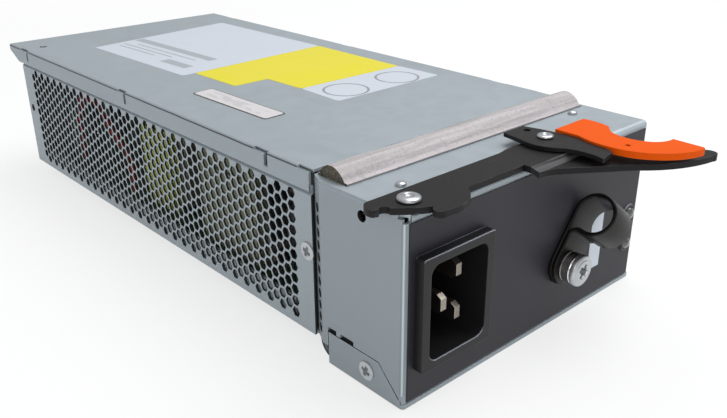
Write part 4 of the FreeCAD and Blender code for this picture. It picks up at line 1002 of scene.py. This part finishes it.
def cross_recess(r, angle, size, width, depth, turn=0.0):
    """Depth of a cross-shaped driver recess at a point of the head."""
    x = abs(r * math.cos(angle + turn))
    y = abs(r * math.sin(angle + turn))
    along, across = max(x, y), min(x, y)
    arm = step_down(across, width * 0.42, width * 0.62) * step_down(along, size * 0.80, size)
    return depth * arm * (1.0 - 0.45 * min(1.0, along / size))


def shadow_recess(screw, axis, level, reach=3.3 * MM):
    """Gives the sunk part of a head its own finish of painted shade."""
    screw.data.materials.append(finish_called("recess_shadow"))
    heart = screw.data.vertices[0].co
    for face in screw.data.polygons:
        away = (face.center - heart) - axis * (face.center - heart).dot(axis)
        if face.center.dot(axis) < abs(level) and away.length < reach:
            face.material_index = 1


def domed(r, radius, height, foot, power=2.0):
    """Height of a crowned head."""
    t = min(1.0, r / radius)
    return foot + (height - foot) * (1.0 - t ** power) ** 0.5


# Driver recesses: length of an arm from the middle, its width, and the depth.
SMALL_RECESS = (1.7 * MM, 1.05 * MM, 0.55 * MM)
LARGE_RECESS = (2.4 * MM, 1.5 * MM, 1.6 * MM)


# ---- operators --------------------------------------------------------------------------------
class SUPPLY_OT_perforated_side(bpy.types.Operator):
    """Punched left side of the case: six-sided holes and the step behind the cover."""
    bl_idname = "supply.perforated_side"
    bl_label = "Perforated side"

    def execute(self, context):
        sheet = context.scene.supply_sheet
        a, b = low("side_grille"), high("side_grille")
        x0, x1 = a.x, a.x + sheet.sheet_thickness
        lap_gap = 0.1 * MM
        top = high("top_cover").z - sheet.flange_height - lap_gap - sheet.joggle_height
        reach = sheet.hole_flats / math.sqrt(3)
        hexagon = rounded_outline(arc((0, 0), reach, 0, math.tau, 6)[:6], sheet.hole_corner, 2)
        centres = [(a.y + sheet.field_front + column * sheet.column_step,
                    a.z + sheet.field_low + (row + 0.5 * (column % 2)) * sheet.hole_pitch)
                   for column in range(sheet.columns)
                   for row in range(sheet.rows - column % 2)]
        spare_hole = (b.y - 4.0 * MM, a.z + 25.4 * MM)
        holes = [[(y + p.x, z + p.y) for p in hexagon] for y, z in (*centres, spare_hole)]
        shape = punched_plate([(a.y, a.z), (b.y, a.z), (b.y, top), (a.y, top)], holes, x0, x1)
        rise = top + sheet.joggle_height
        in0, in1 = x0 + sheet.joggle, x1 + sheet.joggle
        add_prism(shape, [(x0, top), (in0, rise), (in0, b.z), (in1, b.z), (in1, rise), (x1, top)],
                  a.y, b.y)
        bmesh.ops.recalc_face_normals(shape, faces=shape.faces[:])
        mesh = bpy.data.meshes.new("perforated_side")
        shape.to_mesh(mesh)
        shape.free()
        made = place_piece("perforated_side", mesh, "punched_sheet", smooth=40)
        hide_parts("side_grille")
        return {"FINISHED"}


class SUPPLY_OT_sheet_metal(bpy.types.Operator):
    """Finishes of the case's and the front section's sheets."""
    bl_idname = "supply.sheet_metal"
    bl_label = "Sheet metal"

    def execute(self, context):
        dress("cover_sheet", "top_cover")
        dress("side_sheet", "right_side")
        dress("zinc_sheet", "case_floor", "rear_panel")
        dress("front_sheet", "front_shell", "front_top_plate", "front_bottom_plate")
        return {"FINISHED"}


class SUPPLY_OT_gasket(bpy.types.Operator):
    """Fabric-over-foam gasket across the front section, with its cut foam ends."""
    bl_idname = "supply.gasket"
    bl_label = "Gasket"

    def execute(self, context):
        trim = context.scene.supply_trim
        a, b = low("emi_gasket"), high("emi_gasket")
        rng = random.Random(11)
        phases = [(rng.uniform(60, 420), rng.uniform(0, math.tau), rng.uniform(0.3, 1.0))
                  for _ in range(7)]
        steps, arc = 220, 15
        width = b.y - a.y
        rise = b.z - a.z - 2 * trim.gasket_waviness
        hem = 0.7 * MM
        # each point: across, up, and its share of the undulation
        profile = [(0.02 * width, 0.0, 0.0), (0.0, hem * 0.8, 0.0), (0.10 * width, hem, 0.2)]
        for t in (k / arc for k in range(1, arc)):
            crown = math.sin(math.pi * t ** 1.12) ** 0.62
            profile.append(((0.10 + 0.82 * t) * width, hem + (rise - hem) * crown, 1.0))
        profile += [(0.94 * width, hem, 0.2), (width, hem * 0.8, 0.0), (0.98 * width, 0.0, 0.0)]
        count = len(profile)
        verts = []
        for step in range(steps + 1):
            x = a.x + (b.x - a.x) * step / steps
            for across, up, free in profile:
                sway = sum(w * math.sin(f * (x + across * 0.7) + p) for f, p, w in phases) / 4
                lift = trim.gasket_waviness * sway * free
                verts.append((x, a.y + across, a.z + up + max(-up, lift)))
        skin = piece("gasket_fabric", verts, belt(count, steps + 1), "woven_gasket", smooth=60)
        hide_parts("emi_gasket")
        for side, base in (("left", 0), ("right", steps * count)):
            ring = verts[base:base + count]
            heart = Vector((ring[0][0], a.y + width / 2, a.z + rise * 0.3))
            cap = [heart] + [heart.lerp(Vector(v), 0.93) for v in ring] + [Vector(v) for v in ring]
            dent = 0.5 * MM if side == "left" else -0.5 * MM
            for k in range(count + 1):
                cap[k] = cap[k] + Vector((dent, 0, 0))
            faces = [[0, 1 + k, 1 + (k + 1) % count] for k in range(count)]
            faces += turned(belt(count, first=1))
            foam = piece("gasket_foam_%s" % side, cap, faces, "grey_foam")
        return {"FINISHED"}


class SUPPLY_OT_labels(bpy.types.Operator):
    """Bare labels on the cover and the strip on the front film."""
    bl_idname = "supply.labels"
    bl_label = "Labels"

    def execute(self, context):
        labels = context.scene.supply_labels
        top = high("top_cover").z
        front = low("top_cover").y
        thick = labels.thickness
        sunk = 0.01 * MM
        for name, finish_name, points in COVER_LABELS:
            lift = thick if name == "sticker_bare" else 0.0
            outline = [(x * MM, front + y * MM) for x, y in points]
            label = outline_plate(name, outline, top + lift - sunk, top + lift + thick,
                                  finish_name, corner=labels.corner)
        face = low("face_overlay").y
        x0, x1, z0, z1 = FACE_STRIP
        corners = ((x0, z0), (x1, z0), (x1, z1), (x0, z1))
        verts = [(x, y, z) for y in (face - 3 * sunk, face + sunk) for x, z in corners]
        faces = [[0, 1, 2, 3], [7, 6, 5, 4]] + turned(belt(4))
        strip = piece("face_strip_bare", verts, faces, "plain_paper")
        return {"FINISHED"}


class SUPPLY_OT_fasteners(bpy.types.Operator):
    """Screws with cross recesses, domed rivets and the studs of the top plate."""
    bl_idname = "supply.fasteners"
    bl_label = "Fasteners"

    def execute(self, context):
        for node in ("case_screws", "flange_screws"):
            a, b = low(node), high(node)
            radius = (b.z - a.z) / 2
            seat = 0.6 * MM
            for side, x in (("left", a.x + seat), ("right", b.x - seat)):
                axis = (-1, 0, 0) if side == "left" else (1, 0, 0)

                def head(r, angle):
                    crown = domed(r, radius, seat, seat * 0.45)
                    return crown - cross_recess(r, angle, *SMALL_RECESS, turn=0.35)

                screw = relief_disc("%s_%s" % (node, side), (x, (a.y + b.y) / 2, (a.z + b.z) / 2),
                                    axis, radius, head, "bright_zinc", "case", 26, 72)
                shadow_recess(screw, Vector(axis), abs(x) + 0.42 * MM, 1.9 * MM)
            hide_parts(node)

        a, b = low("clamp_screw"), high("clamp_screw")
        radius = (b.x - a.x) / 2
        tall = low("clamp_collar").y - a.y

        def pan(r, angle):
            groove = 0.16 * MM * step_down(abs(r - radius * 0.76), radius * 0.02, radius * 0.07)
            sunk = groove + cross_recess(r, angle, *LARGE_RECESS, turn=0.6)
            return domed(r, radius, tall, tall * 0.55, 3.0) - sunk

        screw = relief_disc("clamp_screw_head", ((a.x + b.x) / 2, a.y + tall, (a.z + b.z) / 2),
                            (0, -1, 0), radius, pan, "bright_zinc", "case", 36, 96)
        shadow_recess(screw, Vector((0, -1, 0)), a.y + 0.55 * MM, 2.7 * MM)
        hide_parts("clamp_screw")

        for node, body, tall in (("pivot_rivet", "case", 1.1 * MM),
                                 ("latch_rivet", "lever", 0.8 * MM)):
            a, b = low(node), high(node)
            radius = (b.x - a.x) / 2

            def head(r, angle):
                dimple = 0.50 * tall * step_down(r, radius * 0.26, radius * 0.46)
                return domed(r, radius, tall, tall * 0.3, 3.0) - dimple

            rivet = relief_disc(node + "_head", ((a.x + b.x) / 2, (a.y + b.y) / 2, b.z - tall),
                                (0, 0, 1), radius, head, "bright_zinc", body, 24, 72)
            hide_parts(node)

        a, b = low("stop_studs"), high("stop_studs")
        radius, tall = 1.5 * MM, b.z - a.z
        for name, x, y in (("left", a.x + radius, a.y + radius),
                           ("right", b.x - radius, b.y - radius)):
            relief_disc("stop_stud_" + name, (x, y, a.z), (0, 0, 1), radius,
                                     lambda r, angle: domed(r, radius, tall, 0.4 * tall),
                                     "bright_zinc", "case", 14, 40)
        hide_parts("stop_studs")
        dress("bright_zinc", "clamp_nut", "board_standoffs")
        return {"FINISHED"}


def strap_line(trim):
    """Side view of the clamp's strap: (out from the face, up from the screw)."""
    half, thick = trim.strap_width / 2, trim.strap_thickness
    back = -thick / 2
    fore = back - thick - 0.1 * MM
    loop_r = trim.loop_radius + thick / 2
    loop_y, loop_z = back - loop_r, trim.loop_rise
    neck_r = trim.neck_radius
    neck_y = fore - neck_r
    neck_z = loop_z - math.sqrt((loop_r + neck_r) ** 2 - (neck_y - loop_y) ** 2)
    meet = math.atan2(neck_z - loop_z, neck_y - loop_y)
    line = [(back, -half + (loop_z + half) * k / 14) for k in range(14)]
    line += arc((loop_y, loop_z), loop_r, 0, math.tau + meet, 40)
    line += arc((neck_y, neck_z), neck_r, meet + math.pi, 0, 10)[1:]
    return line + [(fore, neck_z - (neck_z + half) * k / 12) for k in range(1, 13)]


class SUPPLY_OT_cord_clamp(bpy.types.Operator):
    """Vinyl-dipped strap: two round-ended tabs and a rounded loop."""
    bl_idname = "supply.cord_clamp"
    bl_label = "Cord clamp"

    def execute(self, context):
        trim = context.scene.supply_trim
        screw = middle("clamp_screw")
        face = high("cord_clamp").y
        half, thick, round_ = trim.strap_width / 2, trim.strap_thickness, trim.strap_round
        section = []
        for side_x, side_out, begin in ((1, 1, 0), (-1, 1, 90), (-1, -1, 180), (1, -1, 270)):
            for k in range(5):
                angle = math.radians(begin + 22.5 * k)
                section.append((side_x, side_out, math.cos(angle), math.sin(angle)))
        count = len(section)
        line = strap_line(trim)
        verts = []
        for k, (place_y, place_z) in enumerate(line):
            before, after = line[max(0, k - 1)], line[min(len(line) - 1, k + 1)]
            along = (Vector(after) - Vector(before)).normalized()
            tab = math.sqrt(max(0.0, half * half - min(place_z, 0.0) ** 2))
            wide = max(tab, 0.4 * MM)
            soft = min(round_, wide * 0.5)
            for side_x, side_out, turn_x, turn_out in section:
                x = side_x * (wide - soft) + turn_x * soft
                out = side_out * (thick / 2 - round_) + turn_out * round_
                verts.append((x, place_y - along.y * out, place_z + along.x * out))
        faces = belt(count, len(line))
        faces.append(list(range(count)))
        faces.append([len(verts) - count + s for s in range(count)][::-1])
        turn = Matrix.Rotation(trim.strap_tilt, 4, "Y")
        base = Matrix.Translation((screw.x, face, screw.z)) @ turn
        strap = piece("clamp_strap", [base @ Vector(v) for v in verts], faces, "dipped_vinyl",
                      smooth=50)
        shape = bmesh.new()
        shape.from_mesh(strap.data)
        bmesh.ops.recalc_face_normals(shape, faces=shape.faces[:])
        shape.to_mesh(strap.data)
        shape.free()
        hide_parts("cord_clamp")
        dress("dark_sleeve", "clamp_collar")
        return {"FINISHED"}


class SUPPLY_OT_lamps(bpy.types.Operator):
    """Domed indicator lamps, each in a black collar."""
    bl_idname = "supply.lamps"
    bl_label = "Indicator lamps"

    def execute(self, context):
        a, b = low("led_lenses"), high("led_lenses")
        radius = (b.x - a.x) / 2
        face = low("face_overlay").y
        for name, z in (("lower", a.z + radius), ("upper", b.z - radius)):
            def dome(r, angle):
                return domed(r, radius * 0.9, radius * 0.75, 0.0)

            relief_disc("lamp_" + name, ((a.x + b.x) / 2, face, z), (0, -1, 0),
                                    radius * 0.9, dome, "lamp_lens", "case", 16, 48,
                                    foot=3.0 * MM)

            def collar(r, angle):
                return 0.5 * MM * step_down(abs(r - radius * 1.12), radius * 0.12, radius * 0.30)

            ring = relief_disc("lamp_collar_" + name, ((a.x + b.x) / 2, face, z), (0, -1, 0),
                               radius * 1.4, collar, "black_moulding", "case", 24, 48)
        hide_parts("led_lenses")
        dress("solder_mask", "led_board")
        return {"FINISHED"}


class SUPPLY_OT_lever(bpy.types.Operator):
    """Finishes of the ejector lever, the latch and its orange grip."""
    bl_idname = "supply.lever"
    bl_label = "Lever and latch"

    def execute(self, context):
        dress("black_steel", "ejector_lever", "latch_plate")
        dress("orange_grip", "latch_grip")
        return {"FINISHED"}


class SUPPLY_OT_front_face(bpy.types.Operator):
    """Front film, moulded inlet and its pins."""
    bl_idname = "supply.front_face"
    bl_label = "Front face"

    def execute(self, context):
        dress("face_film", "face_overlay")
        dress("black_moulding", "inlet_housing")
        dress("plated_pins", "inlet_pins")
        return {"FINISHED"}


class SUPPLY_OT_inside(bpy.types.Operator):
    """Finishes of the boards, coils, cans, sinks and leads inside, and of the rear connector."""
    bl_idname = "supply.inside"
    bl_label = "Inside"

    def execute(self, context):
        dress("solder_mask", "main_board")
        dress("potted_board", "control_board")
        dress("insulator", "insulating_sheet")
        dress("sleeved_can", "bulk_capacitors")
        dress("green_can", "output_capacitors")
        dress("ferrite", "transformer_core")
        dress("wound_copper", "emi_choke")
        dress("taped_choke", "choke_core", "choke_winding")
        dress("taped_coil", "transformer_winding")
        dress("sink_metal", "primary_heatsink", "secondary_heatsink")
        dress("device_black", "power_devices")
        dress("red_wire", "line_wires", "sense_wires")
        dress("black_moulding", "output_connector")
        dress("connector_gold", "output_blades")
        return {"FINISHED"}


def area_lamp(name, place, target, size, power):
    """Round soft lamp that faces the target."""
    lamp = bpy.data.lights.new(name, "AREA")
    lamp.shape = "DISK"
    lamp.size = size
    lamp.energy = power
    made = bpy.data.objects.new(name, lamp)
    made.location = place
    made.rotation_euler = (Vector(target) - Vector(place)).to_track_quat("-Z", "Y").to_euler()
    bpy.context.scene.collection.objects.link(made)
    return made


def add_camera(stage):
    """Camera with the heading, tilt, roll and lens of the settings."""
    camera = bpy.data.cameras.new("camera")
    camera.lens = stage.lens
    camera.sensor_width = 36
    camera.clip_start = 0.01
    eye = bpy.data.objects.new("camera", camera)
    view = Vector((math.sin(stage.heading) * math.cos(stage.tilt),
                   math.cos(stage.heading) * math.cos(stage.tilt), -math.sin(stage.tilt)))
    aim = view.to_track_quat("-Z", "Y").to_matrix().to_4x4()
    eye.matrix_world = (Matrix.Translation(Vector(stage.eye)) @ aim
                        @ Matrix.Rotation(-stage.roll, 4, "Z"))
    bpy.context.scene.collection.objects.link(eye)
    bpy.context.scene.camera = eye


def add_floor(stage, heart, ground):
    """Pale floor that keeps the shadow and turns white further away."""
    f = Finish("pale_floor")
    ray = f.node("ShaderNodeLightPath")
    x, y = f.axes()[:2]
    away = (x - heart.x) * (x - heart.x) + (y - heart.y) * (y - heart.y)
    seen = ray["Is Camera Ray"].larger(ray["Is Glossy Ray"]).larger(ray["Is Transmission Ray"])
    white = seen * 0.62 + ray["Is Camera Ray"] * (0.10 + away.ramp(0.03, 0.60) * 0.28)
    tint = f.mix(f.noise(3.0) * 0.1, tuple(stage.floor), (0.80, 0.81, 0.82))
    matt = f.node("ShaderNodeBsdfDiffuse", {}, {"Color": tint})["BSDF"]
    glow = f.node("ShaderNodeEmission", {}, {"Color": (1, 1, 1), "Strength": 1.0})["Emission"]
    both = f.node("ShaderNodeMixShader", {}, {0: white, 1: matt, 2: glow})["Shader"]
    f.node("ShaderNodeOutputMaterial", {}, {"Surface": both})
    half = stage.floor_half
    mesh = bpy.data.meshes.new("floor")
    mesh.from_pydata([(heart.x + sx * half, heart.y + sy * half, ground)
                      for sx, sy in ((-1, -1), (1, -1), (1, 1), (-1, 1))], [], [[0, 1, 2, 3]])
    mesh.materials.append(f.material)
    floor = bpy.data.objects.new("floor", mesh)
    bpy.context.scene.collection.objects.link(floor)


def add_sky(stage):
    """Even light that is stronger overhead, and plain white where it is seen."""
    world = bpy.data.worlds.new("even_sky")
    bpy.context.scene.world = world
    w = Finish(world.name, world)
    ray = w.node("ShaderNodeLightPath")
    seen = ray["Is Camera Ray"].larger(ray["Is Transmission Ray"])      # mirrors see the soft sky
    towards = w.node("ShaderNodeSeparateXYZ", {},
                     {"Vector": w.node("ShaderNodeTexCoord")["Generated"]})["Z"]
    soft = stage.horizon + towards.ramp(0.0, 0.8) * (stage.sky - stage.horizon)
    strength = seen + (1 - seen) * soft
    back = w.node("ShaderNodeBackground", {}, {"Color": (1, 1, 1), "Strength": strength})
    w.node("ShaderNodeOutputWorld", {}, {"Surface": back["Background"]})


class SUPPLY_OT_stage(bpy.types.Operator):
    """Camera, pale floor, even sky and two soft lamps."""
    bl_idname = "supply.stage"
    bl_label = "Stage"

    def execute(self, context):
        stage = context.scene.supply_stage
        lowest, highest = Vector(CAD_BOX[0]), Vector(CAD_BOX[1])
        heart = (lowest + highest) / 2
        add_camera(stage)
        add_floor(stage, heart, lowest.z - 0.2 * MM)
        add_sky(stage)
        area_lamp("overhead", heart + Vector(stage.key_place), heart, stage.key_size, stage.key)
        area_lamp("beside_camera", heart + Vector(stage.fill_place), heart, stage.fill_size,
                  stage.fill)
        context.scene.view_settings.view_transform = "Standard"
        return {"FINISHED"}


OPERATORS = (
    SUPPLY_OT_perforated_side, SUPPLY_OT_sheet_metal, SUPPLY_OT_gasket, SUPPLY_OT_labels,
    SUPPLY_OT_fasteners, SUPPLY_OT_cord_clamp, SUPPLY_OT_lamps, SUPPLY_OT_lever,
    SUPPLY_OT_front_face, SUPPLY_OT_inside, SUPPLY_OT_stage,
)
SETTINGS = {"supply_sheet": SheetSettings, "supply_trim": TrimSettings,
            "supply_labels": LabelSettings, "supply_stage": StageSettings}


class SUPPLY_PT_panel(bpy.types.Panel):
    """Lists the pieces and their settings."""
    bl_idname = "SUPPLY_PT_panel"
    bl_label = "Power Supply"
    bl_space_type = "VIEW_3D"
    bl_region_type = "UI"
    bl_category = "Power Supply"

    def draw(self, context):
        for operator in OPERATORS:
            self.layout.operator(operator.bl_idname)
        for key, group in SETTINGS.items():
            box = self.layout.box()
            box.label(text=group.__doc__)
            for field in group.__annotations__:
                box.prop(getattr(context.scene, key), field)


def register():
    """Registers the add-on's classes and settings."""
    for cls in (*SETTINGS.values(), *OPERATORS, SUPPLY_PT_panel):
        bpy.utils.register_class(cls)
    for key, group in SETTINGS.items():
        setattr(bpy.types.Scene, key, PointerProperty(type=group))


def unregister():
    """Removes them again, in reverse order."""
    for key in SETTINGS:
        delattr(bpy.types.Scene, key)
    for cls in (SUPPLY_PT_panel, *reversed(OPERATORS), *reversed(SETTINGS.values())):
        bpy.utils.unregister_class(cls)


def main():
    """Registers the add-on, then runs every operator in order."""
    register()
    for operator in OPERATORS:
        area, name = operator.bl_idname.split(".")
        getattr(getattr(bpy.ops, area), name)()


if __name__ == "__main__":
    main()
